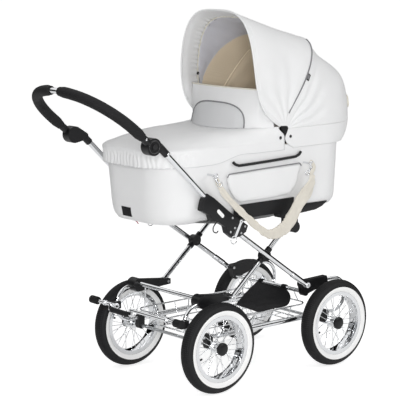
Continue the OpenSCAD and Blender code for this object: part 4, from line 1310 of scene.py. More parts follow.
    def tag(self) -> None:
        """Makes the bare tag on the near piping, a pale field on a dark edge."""
        share, out = 0.786, Vector((0, -1, 0))
        here = self.inner("middle", share, -0.6)
        way = self.inner("middle", share + 0.02, 0) - self.inner("middle", share - 0.02, 0)
        way.normalize()
        side = way.cross(out).normalized()
        side = side if side.x > 0 else -side
        plates = []
        for rise, inset in ((0.0018, 0.0), (0.0026, 4.0)):
            wide, low, high = 13 - inset, inset - 1, 15 - inset
            spots = ((-wide, low), (wide, low), (wide, high), (-wide, high))
            corners = [self.placed(here + way * a + side * b) for a, b in spots]
            plate = slab(corners, out, rise, 0.0004)
            for f in plate.faces:
                f.material_index = 1 if inset else 0
            plates.append(plate)
        self.bench.piece("hood_tag", joined(plates), [Trim.BLACK_CLOTH, Trim.PIPING],
                         "hood_middle")

    def back_vent(self) -> None:
        """Makes the vent at the back, a ring round a dark sheet that paints the shade inside the
        opening.
        """
        half, high, middle = self.vent
        net = [self.rear_point(u, v) for u in steps(81, 0.2, 0.8) for v in steps(31, 0.62, 0.99)]

        def on_back(y: float, z: float, spread: float) -> Vector:
            """Finds a point just off the cloth at the back.

            Args:
                y: the side.
                z: the height.
                spread: how far the side is spread.

            Returns:
                The point, in the frame.
            """
            close_by = nsmallest(5, net, key=lambda p: (p.y - y) ** 2 + (p.z - z) ** 2)
            weights = [1 / (math.hypot(p.y - y, p.z - z) + 0.3) for p in close_by]
            x = sum(p.x * w for p, w in zip(close_by, weights)) / sum(weights)
            return self.bench.at(x + 1.6, y * spread, z)

        def mesh(u: float, v: float) -> Vector:
            """Point of the dark sheet that paints the shade inside the vent."""
            a = 2 * math.pi * u
            y, z = (half - 2) * v * math.cos(a), middle + (high - 2) * v * math.sin(a)
            return on_back(y, z, 1.012)

        ring = [on_back(half * math.cos(a), middle + high * math.sin(a), 1.006) for a in turns(56)]
        rim = tube(ring, 0.0042, closed=True)
        self.fold_rear(self.bench.piece("hood_vent_ring", rim, [Trim.CREAM], None))
        bm = grid(mesh, 56, 8)
        close(bm)
        face_away(bm, self.bench.at(250, 0, 940))
        # painted shade: this black sheet stands in for the shadow inside the vent's opening
        made = self.bench.piece("hood_vent_shade", bm, [Trim.BLACK_CLOTH], None)
        self.bench.thicken(made, 0.001, 1.0)
        self.fold_rear(made)


@dataclass
class Flap:
    """Windshield flap that stands on the apron's opening.

    Args:
        bench: where the pieces are put together.
        end: X of the middle that the foot is bent round.
        reach: how far the foot reaches from there.
        half: how far it would reach sideways.
        foot: height of the foot.
        top: X, half width and height of the upper edge.
        turn: half of the foot's bend, in degrees.
        wide: how far the wings reach, as a share of the half width.
        panel_half: half width of the panel, as the same share.
        panel_high: height of the panel, as a share of the flap's.
        panel_low: height of its lower edge, as a share of the flap's.
    """

    bench: Bench
    end: float = 33.0
    reach: float = 152.6
    half: float = 200.2
    foot: float = 886.5
    top: tuple[float, float, float] = (-60.0, 180.0, 1027.0)
    turn: float = 60.0
    wide: float = 1.38
    panel_half: float = 0.74
    panel_high: float = 0.62
    panel_low: float = 0.012

    def point(self, k: float, v: float, out: float) -> Vector:
        """Point of the flap.

        Args:
            k: side, from -1 to 1, and further out on the wings tucked into the hood.
            v: height, from 0 at the foot to 1.
            out: how far off the flap's front.

        Returns:
            The point, in the frame.
        """
        t = math.radians(self.turn * k)
        base = Vector((self.end - self.reach * math.cos(t), self.half * math.sin(t),
                       self.foot + 7 * math.sin(t) ** 2 + min(k * k, 1.0)))
        x, y, z = self.top
        inner = min(max(k, -1.0), 1.0)
        wing = (abs(k) - abs(inner)) / (self.wide - 1)
        high = Vector((x + 20 * inner * inner + 56 * wing,
                       y * inner + math.copysign(13 * wing, k), z - 100 * wing))
        a = math.radians(40 * k)
        p = base.lerp(high, v) + out * Vector((-math.cos(a), math.sin(a), 0.3))
        return self.bench.at(p.x, p.y, p.z)

    def flatten(self, made: bpy.types.Object) -> bpy.types.Object:
        """Gives a piece a copy of its mesh."""
        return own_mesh(made, "flap_fold", axis=(0.92, 0.0, -0.39),
                         anchor=self.bench.at(-113.6, 0, 883.6), keep=0.3)

    def build(self) -> None:
        """Makes the flap, its panel and its trim."""

        def face(u: float, v: float) -> Vector:
            """Point of the flap's front."""
            k = (2 * u - 1) * self.wide
            soft = 1.4 * noise.noise(Vector((k * 4, v * 3, 4))) * math.sin(math.pi * v)
            return self.point(k, v, -0.4 + 1.5 * math.sin(math.pi * v) + soft)

        bm = grid(face, 120, 40)
        face_away(bm, self.bench.at(150, 0, 950))
        made = self.bench.piece("flap_cloth", bm, [Trim.LEATHERETTE], "windshield",
                                ["windshield_flap"])
        self.bench.thicken(made, 0.0042)
        self.bench.cloth(made, 0.37, "stretched", ["apron"])
        self.flatten(made)
        top = [self.point(k, 1.0, -1.6) + Vector((0, 0, 0.0006)) for k in steps(80, -1.0, 1.0)]
        made = self.bench.piece("flap_binding", tube(top, 0.0030), [Trim.CREAM], "windshield")
        self.flatten(made)
        self.panel()

    def arch(self, k: float) -> float:
        """Height of the panel's edge at a side."""
        return self.panel_high * max(1 - abs(k / self.panel_half) ** 2.9, 0.0) ** (1 / 2.9)

    def panel(self) -> None:
        """Makes the panel on the flap with its piping."""

        def puffed(u: float, v: float) -> Vector:
            """Point of the panel."""
            k = (2 * u - 1) * self.panel_half
            edge = min(1.0, 7 * min(v + 0.4, 1 - v, u, 1 - u))
            return self.point(k, self.panel_low + self.arch(k) * v, 1.4 + 3.0 * ease(0, 1, edge))

        bm = grid(puffed, 80, 26)
        face_away(bm, self.bench.at(150, 0, 950))
        made = self.bench.piece("flap_panel", bm, [Trim.PANEL], "windshield")
        self.bench.thicken(made, 0.0016)
        self.bench.cloth(made, 0.27, "stretched", ["flap_cloth"])
        self.flatten(made)
        sides = [-self.panel_half * math.cos(math.pi * share) for share in steps(90)]
        line = [self.point(k, self.panel_low + self.arch(k), 2.4) for k in sides]
        made = self.bench.piece("flap_piping", tube(even(line, 120), 0.0024), [Trim.PIPING],
                                "windshield")
        self.flatten(made)


@dataclass
class Bassinet:
    """Tub, lining, mattress, apron, pocket, strap and carry handles.

    Args:
        bench: where the pieces are put together.
        half: half of the tub's width.
        foot: how far its foot end lies behind the middle of the wheelbase.
        head: how far its head end lies in front of it.
        floor: height of its floor.
        rim: height of its rim.
        corner: radius of its corners.
        mouth_x: X of the middle of the apron's opening.
        mouth_reach: how far the opening reaches from there.
        apron_half: half of the apron's width.
        apron_over: how far the apron hangs past the foot end.
        proud: how far the cover's padding stands out at the foot end.
        hook_z: height of the strap's hooks.
        hooks: X of the two hooks.
        pocket_in: how far the pocket's back lies from the middle.
        strap_run: the strap's line, as X, height from the hooks and half width.
    """

    bench: Bench
    half: float = 201.0
    foot: float = 468.0
    head: float = 404.0
    floor: float = 592.0
    rim: float = 830.0
    corner: float = 132.0
    mouth_x: float = 33.0
    mouth_reach: float = 153.0
    apron_half: float = 202.6
    apron_over: float = 37.0
    proud: float = 16.0
    hook_z: float = 757.0
    hooks: tuple[float, float] = (-292.0, 161.0)
    pocket_in: float = 198.4
    strap_run: tuple[tuple[float, float, float], ...] = (
        (-300, 12, 8), (-286, -12, 9), (-272, -34, 10), (-252, -64, 12), (-214, -100, 12),
        (-169, -139, 12), (-116, -183, 13), (-65, -220, 14), (-30, -232, 18), (8, -228, 23),
        (46, -208, 25), (76, -174, 25), (104, -138, 25), (140, -102, 25), (162, -72, 24),
        (168, -40, 17), (163, -12, 10), (160, 12, 9))

    def build(self) -> None:
        """Makes the bassinet's soft goods."""
        self.tub()
        self.tub_trim()
        self.inside()
        self.mattress()
        self.apron()
        self.pocket()
        self.strap()
        self.carry_handles()

    @staticmethod
    def ring(x0: float, x1: float, half: float, r: float, share: float) -> tuple[float, float]:
        """Finds a point on a rounded rectangle.

        Args:
            x0: X of its one end.
            x1: X of its other end.
            half: half of its width.
            r: radius of its corners.
            share: share of the way round it.

        Returns:
            The point's X and Y.
        """
        runs = [x1 - x0 - 2 * r, math.pi * r / 2, 2 * half - 2 * r, math.pi * r / 2] * 2
        goal = (share % 1.0) * sum(runs)
        legs = [(x0 + r, -half, 0), (x1 - r, -half + r, -90), (x1, -half + r, 90),
                (x1 - r, half - r, 0), (x1 - r, half, 180), (x0 + r, half - r, 90),
                (x0, half - r, 270), (x0 + r, -half + r, 180)]
        for k, run in enumerate(runs):
            if goal <= run or k == 7:
                break
            goal -= run
        x, y, turn = legs[k]
        if k % 2:
            a = math.radians(turn) + goal / r
            return x + r * math.cos(a), y + r * math.sin(a)
        a = math.radians(turn)
        return x + goal * math.cos(a), y + goal * math.sin(a)

    def shell(self, inset: float, low: float, proud: float) -> Surface:
        """Surface of the tub, drawn in by an inset.

        Args:
            inset: how far inside the tub's outer face, in millimetres.
            low: lowest height.
            proud: how far the padding stands out at the foot end.

        Returns:
            The surface by the share round and the share up.
        """
        foot, drop = -self.foot - proud, proud / 4
        drawn = ((36, 19, 36, 32, self.floor - drop), (24, 9, 16, 12, self.floor + 20 - drop),
                 (18, 6, 9, 7, self.floor + 48), (12, 4, 6, 5, self.floor + 110),
                 (6, 2, 3, 3, self.floor + 175), (0, 0, 0, 0, self.rim))
        nets = [Vector((foot + f, self.head - h, self.half - side)) for f, h, side, _, _ in drawn]
        more = [Vector((self.corner - c, z, 0)) for _, _, _, c, z in drawn]

        def point(u: float, v: float) -> Vector:
            """Point of the shell."""
            a, b = course(nets, v), course(more, v)
            x, y = self.ring(a.x + inset, a.y - inset, a.z - inset, max(b.x - inset, 8), u)
            return self.bench.at(x, y, max(b.y, low))

        return point

    def tub(self) -> None:
        """Makes the tub's outer cover."""
        bm = grid(self.shell(0.0, self.floor - 4, self.proud), 240, 44)
        bmesh.ops.remove_doubles(bm, verts=bm.verts, dist=1e-5)
        rim = [e for e in bm.edges if e.is_boundary and e.verts[0].co.z < 0.7]
        bmesh.ops.holes_fill(bm, edges=rim, sides=0)
        bmesh.ops.recalc_face_normals(bm, faces=bm.faces)
        face_away(bm, self.bench.at(-30, 0, 710))
        ruffle(bm, self.padding)
        made = self.bench.piece("tub_cover", bm, [Trim.LEATHERETTE], "bassinet", ["cot_tub"])
        self.bench.thicken(made, 0.003)

    def tub_trim(self) -> None:
        """Makes the bare patch and the thread at the foot end and the wings of the base."""
        patch = slab([self.bench.at(-465.5 + 0.2 * (644 - z), y, z)
                      for y, z in ((6, 603), (57, 603), (57, 636), (6, 636))],
                     Vector((-0.98, 0, -0.2)), 0.0022, 0.0005)
        self.bench.piece("end_patch", patch, [Trim.BLACK_CLOTH], "bassinet")
        tail = ((60, 606), (299, 602), (272, 585), (238, 575), (188, 572), (60, 566))
        tab = ((97, 627), (117, 627), (117, 655), (111, 659), (103, 659), (97, 655))
        wings = []
        for sign in SIDES.values():
            for outline, y, thick, soften in ((tail, 150, 0.036, 0.003), (tab, 176, 0.014, 0.0015)):
                corners = [self.bench.at(x, sign * y, z) for x, z in outline]
                wings.append(slab(corners, Vector((0, sign, 0)), thick, soften))
        made = self.bench.piece("base_wings", joined(wings), [Trim.PLASTIC], "bassinet")
        self.bench.crisp(made)
        thread = [self.bench.at(-448 + 2 * i, -2 + 3 * math.sin(i * 2.0), 589 - 2.2 * i)
                  for i in range(6)]
        self.bench.piece("red_thread", tube(even(thread, 24), 0.0013), [Trim.RED], "bassinet")

    def padding(self, place: Vector) -> float:
        """Soft unevenness of the tub's padding.

        Args:
            place: a point of it, in the frame.

        Returns:
            How far the point moves outwards, in metres.
        """
        p = self.bench.source(place)
        keep = ease(600, 640, p.z) * ease(832, 800, p.z)
        return keep * (0.9 * noise.noise(p * 0.011) - 0.5) * MM

    def inside(self) -> None:
        """Makes the quilted lining of the tub."""
        wall = self.shell(6.5, self.floor + 12, 0.0)

        def quilt(u: float, v: float) -> Vector:
            """Point of the lining, swelled between its seams.

            Args:
                u: share round.
                v: share up.

            Returns:
                The point, in the frame.
            """
            p = wall(u, 0.08 + 0.92 * v)
            inward = Vector((self.bench.at(-32, 0, 0).x - p.x, -p.y, 0)).normalized()
            swell = 2.2 * abs(math.sin(math.pi * u * 26)) ** 0.6
            return p + inward * swell * MM

        bm = grid(quilt, 312, 30)
        bmesh.ops.remove_doubles(bm, verts=bm.verts, dist=1e-5)
        face_away(bm, self.bench.at(-30, 0, 710), inward=True)
        made = self.bench.piece("tub_lining", bm, [Trim.BEIGE], "bassinet")
        self.bench.thicken(made, 0.002, 1.0)

    def mattress(self) -> None:
        """Makes the mattress."""
        low, thick = 601.5, 41.0
        outline = [self.ring(64 - self.foot, self.head - 48, self.half - 50, 70, i / 48)
                   for i in range(48)]
        corners = [self.bench.at(x, y, low) for x, y in outline]
        bm = slab(corners, Vector((0, 0, 1)), thick * MM, 0.012)
        made = self.bench.piece("mattress_pad", bm, [Trim.BEIGE], "bassinet", ["mattress"])
        self.bench.stuff(made, 0.008, 3.0, 0.004)
        for v in made.data.vertices:
            v.co.z = max(v.co.z, low * MM)

    def mouth(self, t: float) -> Vector:
        """Edge of the apron's opening at a turn about its middle."""
        return Vector((self.mouth_x - self.mouth_reach * math.cos(t), self.apron_half * math.sin(t),
                       886 + 7 * math.sin(t) ** 2))

    def apron_net(self) -> list[list[Vector]]:
        """Lays a net of points over the apron.

        Returns:
            Rows of points from its opening to its hem.
        """
        plan = end_plan(self.mouth_x, self.corner - self.foot, -self.foot - self.apron_over,
                        self.apron_half, self.half - self.corner)
        angles = [math.atan2(y / self.apron_half, (self.mouth_x - x) / self.mouth_reach)
                  for x, y in plan]

        def row(r: float) -> list[Vector]:
            """One row of the net over the top.

            Args:
                r: share of the way from the opening to the roll.

            Returns:
                The row's points.
            """
            spots = []
            for (x, y), t in zip(plan, angles):
                m = self.mouth(t)
                z = 844 + (m.z - 844) * (1 - r ** 3) + 8 * math.cos(t) * math.sin(math.pi * r)
                spots.append(Vector((m.x + (x - m.x) * r, m.y + (y - m.y) * r, z)))
            return spots

        def hem(z: float, lift: float, draw: float) -> list[Vector]:
            """One row of the net below the roll, lifted along the sides."""
            return [Vector((x, y * draw, z + lift * min(max((x + 250) / 50, 0), 1)))
                    for x, y in plan]

        rows = [row(r) for r in (0.0, 0.15, 0.32, 0.5, 0.66, 0.8, 0.91, 1.0)]
        return rows + [hem(824, 7, 1.0), hem(803, 15, 0.998), hem(787, 24, 0.997)]

    def apron(self) -> None:
        """Makes the apron over the foot half, up to the hood's pivots."""
        net = self.apron_net()

        def sheet(u: float, v: float) -> Vector:
            """Point of the apron, its two ends drawn forward below the pivots.

            Args:
                u: share along.
                v: share across.

            Returns:
                The point, in the frame.
            """
            p = course([course(row, u) for row in net], v)
            end = 1 - ease(0.0, 0.045, min(u, 1 - u))
            p.x += 29 * end * (1 - ease(858, 892, p.z))
            return self.bench.at(p.x, p.y, p.z)

        bm = grid(sheet, 260, 90)
        bmesh.ops.remove_doubles(bm, verts=bm.verts, dist=1e-5)
        face_away(bm, self.bench.at(-250, 0, 760))
        ruffle(bm, self.apron_folds)
        made = self.bench.piece("apron_cloth", bm, [Trim.LEATHERETTE], "bassinet", ["apron"])
        self.bench.thicken(made, 0.0016)
        self.bench.cloth(made, 1.15, "stretched", ["cot_tub"])
        for name, across, count, radius, trim in (
                ("roll_seam", 0.7, 200, 0.0012, Trim.LEATHERETTE),
                ("hem_binding", 0.99, 200, 0.0010, Trim.PANEL),
                ("mouth_binding", 0.0, 160, 0.0022, Trim.LEATHERETTE)):
            line = [sheet(u, across) for u in steps(count)]
            self.bench.piece(f"apron_{name}", tube(line, radius), [trim], "bassinet")

    def apron_folds(self, place: Vector) -> float:
        """Gathers at the apron's foot corners and its soft unevenness.

        Args:
            place: a point of it, in the frame.

        Returns:
            How far the point moves outwards, in metres.
        """
        p = self.bench.source(place)
        hem = ease(848, 815, p.z)
        corner = ease(-330, -430, p.x)
        round_it = math.atan2(p.y, -(p.x + 250))
        gather = 1.5 * math.sin(round_it * 90 + 3 * noise.noise(p * 0.03))
        soft = 1.8 * noise.noise(p * 0.010) + 0.8 * noise.noise(p * 0.03)
        return (gather * hem * corner + soft * (1 - 0.6 * hem)) * MM

    def pocket(self) -> None:
        """Makes the side pocket with its piping."""
        x1 = self.hooks[1]
        low, high = self.floor + 51, self.floor + 163
        outline = [(-212, high - 12), (-200, high - 4), (x1 - 34, high + 4), (x1 - 22, high - 8),
                   (x1 - 38, low + 42), (x1 - 66, low + 12), (x1 - 84, low + 4), (-128, low),
                   (-172, low + 14), (-206, low + 60)]
        ring = [Vector((x, 0, z)) for x, z in outline]
        line = even([*ring, ring[0]], 90)[:-1]
        corners = [self.bench.at(p.x, -self.pocket_in, p.z) for p in line]
        bm = slab(corners, Vector((0, -1, 0)), 0.0085, 0.003)
        made = self.bench.piece("pocket_pad", bm, [Trim.LEATHERETTE], "bassinet", ["side_pocket"])
        self.bench.stuff(made, 0.005, 4.0, 0.004)
        for v in made.data.vertices:
            v.co.y = min(v.co.y, -self.pocket_in * MM)
        edge = [self.bench.at(x, -209.2, z) for x, z in
                ((-213, high - 16), (-207, high - 8), (-196, high - 4.5), (-120, high - 2),
                 (0, high + 0.8), (x1 - 50, high + 3.2), (x1 - 32, high + 3), (x1 - 23, high - 6))]
        self.bench.piece("pocket_piping", tube(even(edge, 80), 0.0021), [Trim.PIPING], "bassinet")

    def strap(self) -> None:
        """Makes the shoulder strap, its pad and its metal fittings."""
        out = Vector((0, -1, 0))
        thin = self.strap_run[1:10]
        line = [self.bench.at(x, -234.6, self.hook_z + z) for x, z, _ in thin]
        bm = ribbon(line, [h * MM for *_, h in thin], [1.6 * MM] * len(thin), out, 110)
        ruffle(bm, self.strap_folds)
        made = self.bench.piece("strap_webbing", bm, [Trim.WEBBING], "bassinet", ["shoulder_strap"])
        self.bench.cloth(made, 0.52, "hung", ["strap_hooks"], skins=2)
        wide = self.strap_run[7:16]
        line = [self.bench.at(x, -235.4, self.hook_z + z) for x, z, _ in wide]
        thick = [1.8, 3.2, 4.6, 5.2, 5.2, 5.0, 4.6, 3.4, 2.0]
        halves = [12, 17, 23, 26, 27, 27, 25, 19, 11]
        bm = ribbon(line, [h * MM for h in halves], [t * MM for t in thick], out, 90)
        ruffle(bm, self.strap_folds)
        pad = self.bench.piece("strap_pad", bm, [Trim.WEBBING], "bassinet")
        tail = [(160, -40, 9), (171, -28, 9), (175, -14, 8), (166, -2, 8), (157, 8, 8)]
        line = [self.bench.at(x, -236.0 + 2.5 * math.sin(i * 1.7), self.hook_z + z)
                for i, (x, z, _) in enumerate(tail)]
        bm = ribbon(line, [h * MM for *_, h in tail], [1.8 * MM] * len(tail), out, 60)
        self.bench.piece("strap_tail", bm, [Trim.WEBBING], "bassinet")
        self.strap_metal()

    def strap_folds(self, place: Vector) -> float:
        """Lengthwise creases of the strap.

        Args:
            place: a point of it, in the frame.

        Returns:
            How far the point moves outwards, in metres.
        """
        p = self.bench.source(place)
        across = 0.78 * p.x - 0.62 * p.z if p.x > 40 else 0.75 * p.x + 0.66 * p.z
        crease = math.sin(across * 0.5 + 3 * noise.noise(p * 0.02))
        return 1.5 * (crease + noise.noise(p * 0.06)) * MM

    def strap_metal(self) -> None:
        """Makes the swivel hooks and rings of the strap."""
        parts, z = [], self.hook_z
        for x, lean in zip(self.hooks, (1, -1)):
            ring = self.bench.hoop(x, -237.4, z - 2, 9, 9, 28)
            parts.append(tube(ring, 0.0019, closed=True))
            body = [self.bench.at(x + lean * d, -237.6, z - 10 - 1.6 * d) for d in (0, 4, 8, 12)]
            parts.append(tube(body, [0.0042, 0.0048, 0.0036, 0.003]))
            loop = self.bench.hoop(x + lean * 20, -237.2, z - 32, 10, 8, 28)
            parts.append(tube(loop, 0.0019, closed=True))
        self.bench.piece("strap_fittings", joined(parts), [Trim.CHROME], "bassinet")

    def carry_handles(self) -> None:
        """Makes the two black carry handles."""
        bar = ((-184, 789), (-174, 781), (-162, 777), (-148, 775.5), (-30, 778), (100, 782.5),
               (118, 785), (130, 790), (138, 799))
        for name, sign in SIDES.items():
            line = [self.bench.at(x, sign * 206.4, z) for x, z in bar]
            bm = tube(even(line, 90), 0.005, fine=5)
            self.bench.piece(f"carry_bar_{name}", bm, [Trim.PLASTIC], f"carry_{name}",
                             [f"carry_handle_{name}"])


@dataclass
class Frame:
    """Dressing of the crossed frame, the basket and the source's own nodes.

    Args:
        bench: where the pieces are put together.
        shown: the source's nodes.
        record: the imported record.
        fold: X and Z of the handle's fold.
        handle_slope: slope of the handle's tubes, in degrees.
        leg_slope: slope of the rear legs, in degrees.
        bracket: a lock bracket's outline, along the handle from the fold and below it.
    """

    bench: Bench
    shown: dict[str, bpy.types.Object]
    record: dict
    fold: tuple[float, float] = (-175.4, 548.0)
    handle_slope: float = 43.7
    leg_slope: float = 34.8
    bracket: tuple[tuple[float, float], ...] = (
        (206, -10), (170, -18), (80, -27), (20, -38), (-20, -44), (-28, -22), (-18, 5), (2, 30),
        (38, 34), (60, 22), (100, 32), (124, 46), (144, 35), (184, 48), (200, 20))

    def build(self) -> None:
        """Dresses the frame."""
        self.paint()
        self.basket_cloth()
        self.bracket_trim()

    def paint(self) -> None:
        """Gives each node of the source that still shows its finish."""
        trims = {finish.slot: trim for trim, finish in reversed(FINISHES.items()) if finish.slot}
        slots = {row["node"]: row["material_slot"] for row in self.record["subparts"]}
        for name, node in self.shown.items():
            if node.hide_render:
                continue
            node.data.materials.clear()
            node.data.materials.append(self.bench.paints[trims[slots[name]]])
            node.data.polygons.foreach_set("use_smooth", [True] * len(node.data.polygons))
            weld = node.modifiers.new("weld", "WELD")
            weld.merge_threshold = 1e-5
            self.bench.crisp(node, 32.0)

    def basket_cloth(self) -> None:
        """Makes the black cover of the basket with its two loops."""
        near = [Vector((-26, -166, 232)), Vector((60, -163, 232)), Vector((124, -160, 234)),
                Vector((160, -138, 256)), Vector((170, -106, 277))]
        far = [Vector((-9, -27, 232)), Vector((80, 12, 260)), Vector((170, 50, 280))]

        def cover(u: float, v: float) -> Vector:
            """Point of the cover, slack between its edges.

            Args:
                u: share from the near edge to the far one.
                v: share along them.

            Returns:
                The point, in the frame.
            """
            p = course(near, v).lerp(course(far, v), u)
            slack = -4.0 * math.sin(math.pi * u) * math.sin(math.pi * v)
            slack += 1.6 * noise.noise(Vector((p.y * 0.03, v * 6, 1)))
            return self.bench.at(p.x, p.y, p.z + slack)

        bm = grid(cover, 70, 50)
        face_away(bm, self.bench.at(40, 0, 100))
        made = self.bench.piece("basket_cloth", bm, [Trim.BLACK_CLOTH], "undercarriage",
                                ["basket_cover"])
        self.bench.thicken(made, 0.0016)
        self.bench.cloth(made, 0.20, "hung", ["basket_frame", "cross_tubes"])
        loops = []
        for y in (-88, 36):
            hoop = [self.bench.at(178 + 10.2 * math.cos(a), y, 279 + 10.2 * math.sin(a))
                    for a in (math.radians(d) for d in range(-170, 171, 20))]
            count = len(hoop)
            loops.append(ribbon(hoop, [0.011] * count, [0.0011] * count, Vector((0, 0, 1)), 40))
        self.bench.piece("basket_loops", joined(loops), [Trim.BLACK_CLOTH], "undercarriage")

    def bracket_trim(self) -> None:
        """Makes the lock brackets with their rivets, bare plates and hooks."""
        shells, tops, rivets, plates, hooks = [], [], [], [], []
        tilt, drop = math.radians(self.handle_slope), math.radians(self.leg_slope)
        leg = Vector((math.cos(drop), 0, -math.sin(drop)))
        for sign in SIDES.values():
            out = Vector((0, sign, 0))

            def spot(along: float, below: float, y: float) -> Vector:
                """Point of the bracket, along the handle from the fold and below it."""
                x = self.fold[0] - math.cos(tilt) * along - math.sin(tilt) * below
                z = self.fold[1] + math.sin(tilt) * along - math.cos(tilt) * below
                return self.bench.at(x, sign * y, z)

            shells.append(slab([spot(a, b, 199.8) for a, b in self.bracket], out, 0.0264, 0.0022))
            foot = spot(0, 0, 213)
            tops.append(tube([foot + leg * MM * a for a in (60, 40, 20, 2)], 0.0091))
            rivets += [dome(spot(a, b, 226.2), out, 0.0042, 0.0022)
                       for a, b in ((57, -19), (-10, -33), (-12, -5), (24, 0), (30, 22))]
            outline = []
            for a in turns(32):
                outline.append(spot(112 + (13 if math.cos(a) > 0 else -13) + 6.5 * math.cos(a),
                                    4 + 6.5 * math.sin(a), 226.1))
            plates.append(slab(outline, out, 0.0012, 0.0003))
            if sign < 0:
                hook = [spot(a, b, 222) for a, b in
                        ((104, 22), (103, 38), (102, 56), (92, 66), (78, 62), (76, 52))]
                hooks.append(tube(even(hook, 40), 0.0022))
        made = self.bench.piece("bracket_shells", joined(shells), [Trim.PLASTIC], "rear_leg_pair",
                                ["lock_brackets"])
        self.bench.crisp(made)
        self.bench.piece("leg_tops", joined(tops), [Trim.CHROME], "rear_leg_pair")
        self.bench.piece("bracket_rivets", joined(rivets), [Trim.STEEL], "rear_leg_pair")
        made = self.bench.piece("bracket_plates", joined(plates), [Trim.WHITEWALL], "rear_leg_pair")
        self.bench.crisp(made)
        self.bench.piece("wire_hook", joined(hooks), [Trim.GLOSS], "rear_leg_pair")


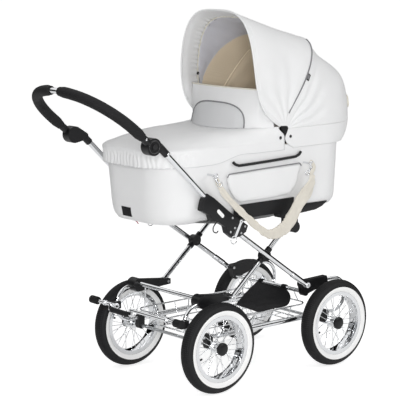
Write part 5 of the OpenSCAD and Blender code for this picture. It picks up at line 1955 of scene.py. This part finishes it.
@dataclass
class Studio:
    """Pale floor, soft lamps and the camera.

    Args:
        bench: where the pieces are put together.
        glow: how much brighter the floor is for each kind of ray.
        surround: brightness of the surround where it only lights the pram.
        flag_ring: radius, depth and height of the ring of dark flags, in metres.
        lights: name, place, size and power of the lamps, in metres and watts.
        aim: where the lamps point, in metres.
        eye: where the camera stands.
        look: where it points.
        focal: its focal length for a sensor 36 mm wide.
    """

    bench: Bench
    glow: tuple[tuple[str, float], ...] = (("Is Camera Ray", 0.64), ("Is Glossy Ray", 0.30))
    surround: float = 0.40
    flag_ring: tuple[float, float, float] = (6.0, 3.3, 1.7)
    lights: tuple[tuple[str, tuple[float, float, float], float, float], ...] = (
        ("key", (2.2, -4.2, 3.2), 2.6, 58.0), ("top", (-0.4, 0.4, 4.2), 3.4, 12.0),
        ("fill", (-3.2, -3.8, 1.7), 1.3, 108.0))
    aim: tuple[float, float, float] = (0.0, 0.0, 0.65)
    eye: tuple[float, float, float] = (-3641.1, -4065.7, 1524.3)
    look: tuple[float, float, float] = (-157.3, 0.0, 629.7)
    focal: float = 137.56

    def build(self) -> None:
        """Makes the studio."""
        self.floor()
        self.flags()
        self.world()
        self.lamps()
        self.camera()
        bpy.context.scene.view_settings.view_transform = "Standard"

    @staticmethod
    def prop(name: str, bm: bmesh.types.BMesh) -> tuple[bpy.types.Object, bpy.types.NodeTree]:
        """Makes a piece of the studio with a material of its own.

        Args:
            name: its name.
            bm: its mesh, which is used up.

        Returns:
            The piece and its material's nodes.
        """
        shape = bpy.data.meshes.new(name)
        bm.to_mesh(shape)
        bm.free()
        made = bpy.data.objects.new(name, shape)
        bpy.context.scene.collection.objects.link(made)
        paint = bpy.data.materials.new(name)
        paint.use_nodes = True
        shape.materials.append(paint)
        return made, paint.node_tree

    @staticmethod
    def hang(made: bpy.types.Object, place: Vector, aim: Vector) -> None:
        """Puts a lamp or the camera in its place.

        Args:
            made: the lamp or the camera.
            place: its place, in metres.
            aim: the point it is turned to.
        """
        made.location = place
        made.rotation_mode = "QUATERNION"
        made.rotation_quaternion = (aim - place).to_track_quat("-Z", "Y")
        bpy.context.scene.collection.objects.link(made)

    def floor(self) -> None:
        """Makes the floor, a little brightened where the camera sees it."""
        bm = bmesh.new()
        bmesh.ops.create_grid(bm, x_segments=8, y_segments=8, size=90.0)
        _, tree = self.prop("studio_floor", bm)
        shader = tree.nodes["Principled BSDF"]
        shader.inputs["Base Color"].default_value = (0.93, 0.93, 0.93, 1)
        shader.inputs["Roughness"].default_value = 0.9
        shader.inputs["Specular IOR Level"].default_value = 0.1
        shader.inputs["Emission Color"].default_value = (1, 1, 1, 1)
        path = tree.nodes.new("ShaderNodeLightPath")
        total = None
        for ray, much in self.glow:
            lift = tree.nodes.new("ShaderNodeMath")
            lift.operation = "MULTIPLY_ADD"
            lift.inputs[1].default_value = much
            lift.inputs[2].default_value = 0.0
            tree.links.new(path.outputs[ray], lift.inputs[0])
            if total:
                tree.links.new(total, lift.inputs[2])
            total = lift.outputs[0]
        tree.links.new(total, shader.inputs["Emission Strength"])

    def flags(self) -> None:
        """Hangs the dark flags that only the chrome mirrors."""
        radius, depth, height = self.flag_ring
        bm = bmesh.new()
        bmesh.ops.create_cone(bm, cap_ends=False, segments=48, radius1=radius, radius2=radius,
                              depth=depth, matrix=Matrix.Translation((0, 0, height)))
        flags, tree = self.prop("studio_flags", bm)
        for ray in ("camera", "diffuse", "transmission", "volume_scatter", "shadow"):
            setattr(flags, f"visible_{ray}", False)
        shader = tree.nodes["Principled BSDF"]
        shader.inputs["Base Color"].default_value = (0.004, 0.004, 0.004, 1)
        shader.inputs["Specular IOR Level"].default_value = 0.0

    def world(self) -> None:
        """Makes the surround, white where it is seen straight or in a reflection."""
        world = bpy.data.worlds.new("studio")
        world.use_nodes = True
        bpy.context.scene.world = world
        tree = world.node_tree
        back = tree.nodes["Background"]
        back.inputs["Color"].default_value = (1, 1, 1, 1)
        path = tree.nodes.new("ShaderNodeLightPath")
        seen = highest(tree, [path.outputs[f"Is {ray} Ray"]
                              for ray in ("Camera", "Glossy", "Transmission")])
        level = tree.nodes.new("ShaderNodeMapRange")
        level.inputs["To Min"].default_value = self.surround
        level.inputs["To Max"].default_value = 1.0
        tree.links.new(seen, level.inputs["Value"])
        tree.links.new(level.outputs[0], back.inputs["Strength"])

    def lamps(self) -> None:
        """Hangs the soft lamps."""
        for name, place, size, power in self.lights:
            lamp = bpy.data.lights.new(name, "AREA")
            lamp.size = size
            lamp.energy = power
            self.hang(bpy.data.objects.new(name, lamp), Vector(place), Vector(self.aim))

    def camera(self) -> None:
        """Sets up the camera where the photograph was taken from."""
        lens = bpy.data.cameras.new("view")
        lens.lens = self.focal
        lens.sensor_width = 36.0
        lens.clip_end = 300.0
        eye = bpy.data.objects.new("view", lens)
        self.hang(eye, self.bench.at(*self.eye), self.bench.at(*self.look))
        bpy.context.scene.camera = eye


def clear_scene() -> None:
    """Empties the starting scene."""
    for held in list(bpy.data.objects):
        bpy.data.objects.remove(held)


def main() -> None:
    """Builds the pram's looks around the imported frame."""
    logging.basicConfig(level=logging.INFO, format="%(message)s")
    clear_scene()
    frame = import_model()
    front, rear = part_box("tyre_front_left"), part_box("tyre_rear_left")
    middle = (front[0].x + front[1].x + rear[0].x + rear[1].x) / 4
    paints = {trim: finish.material(trim.value) for trim, finish in FINISHES.items()}
    bench = Bench(middle / MM, paints)
    Studio(bench).build()
    for part in (RunningGear(bench), Handle(bench), Hood(bench), Flap(bench), Bassinet(bench),
                 Frame(bench, frame["nodes"], frame["record"])):
        LOG.info("building %s", type(part).__name__)
        part.build()
    bpy.context.view_layer.update()


if __name__ == "__main__":
    main()
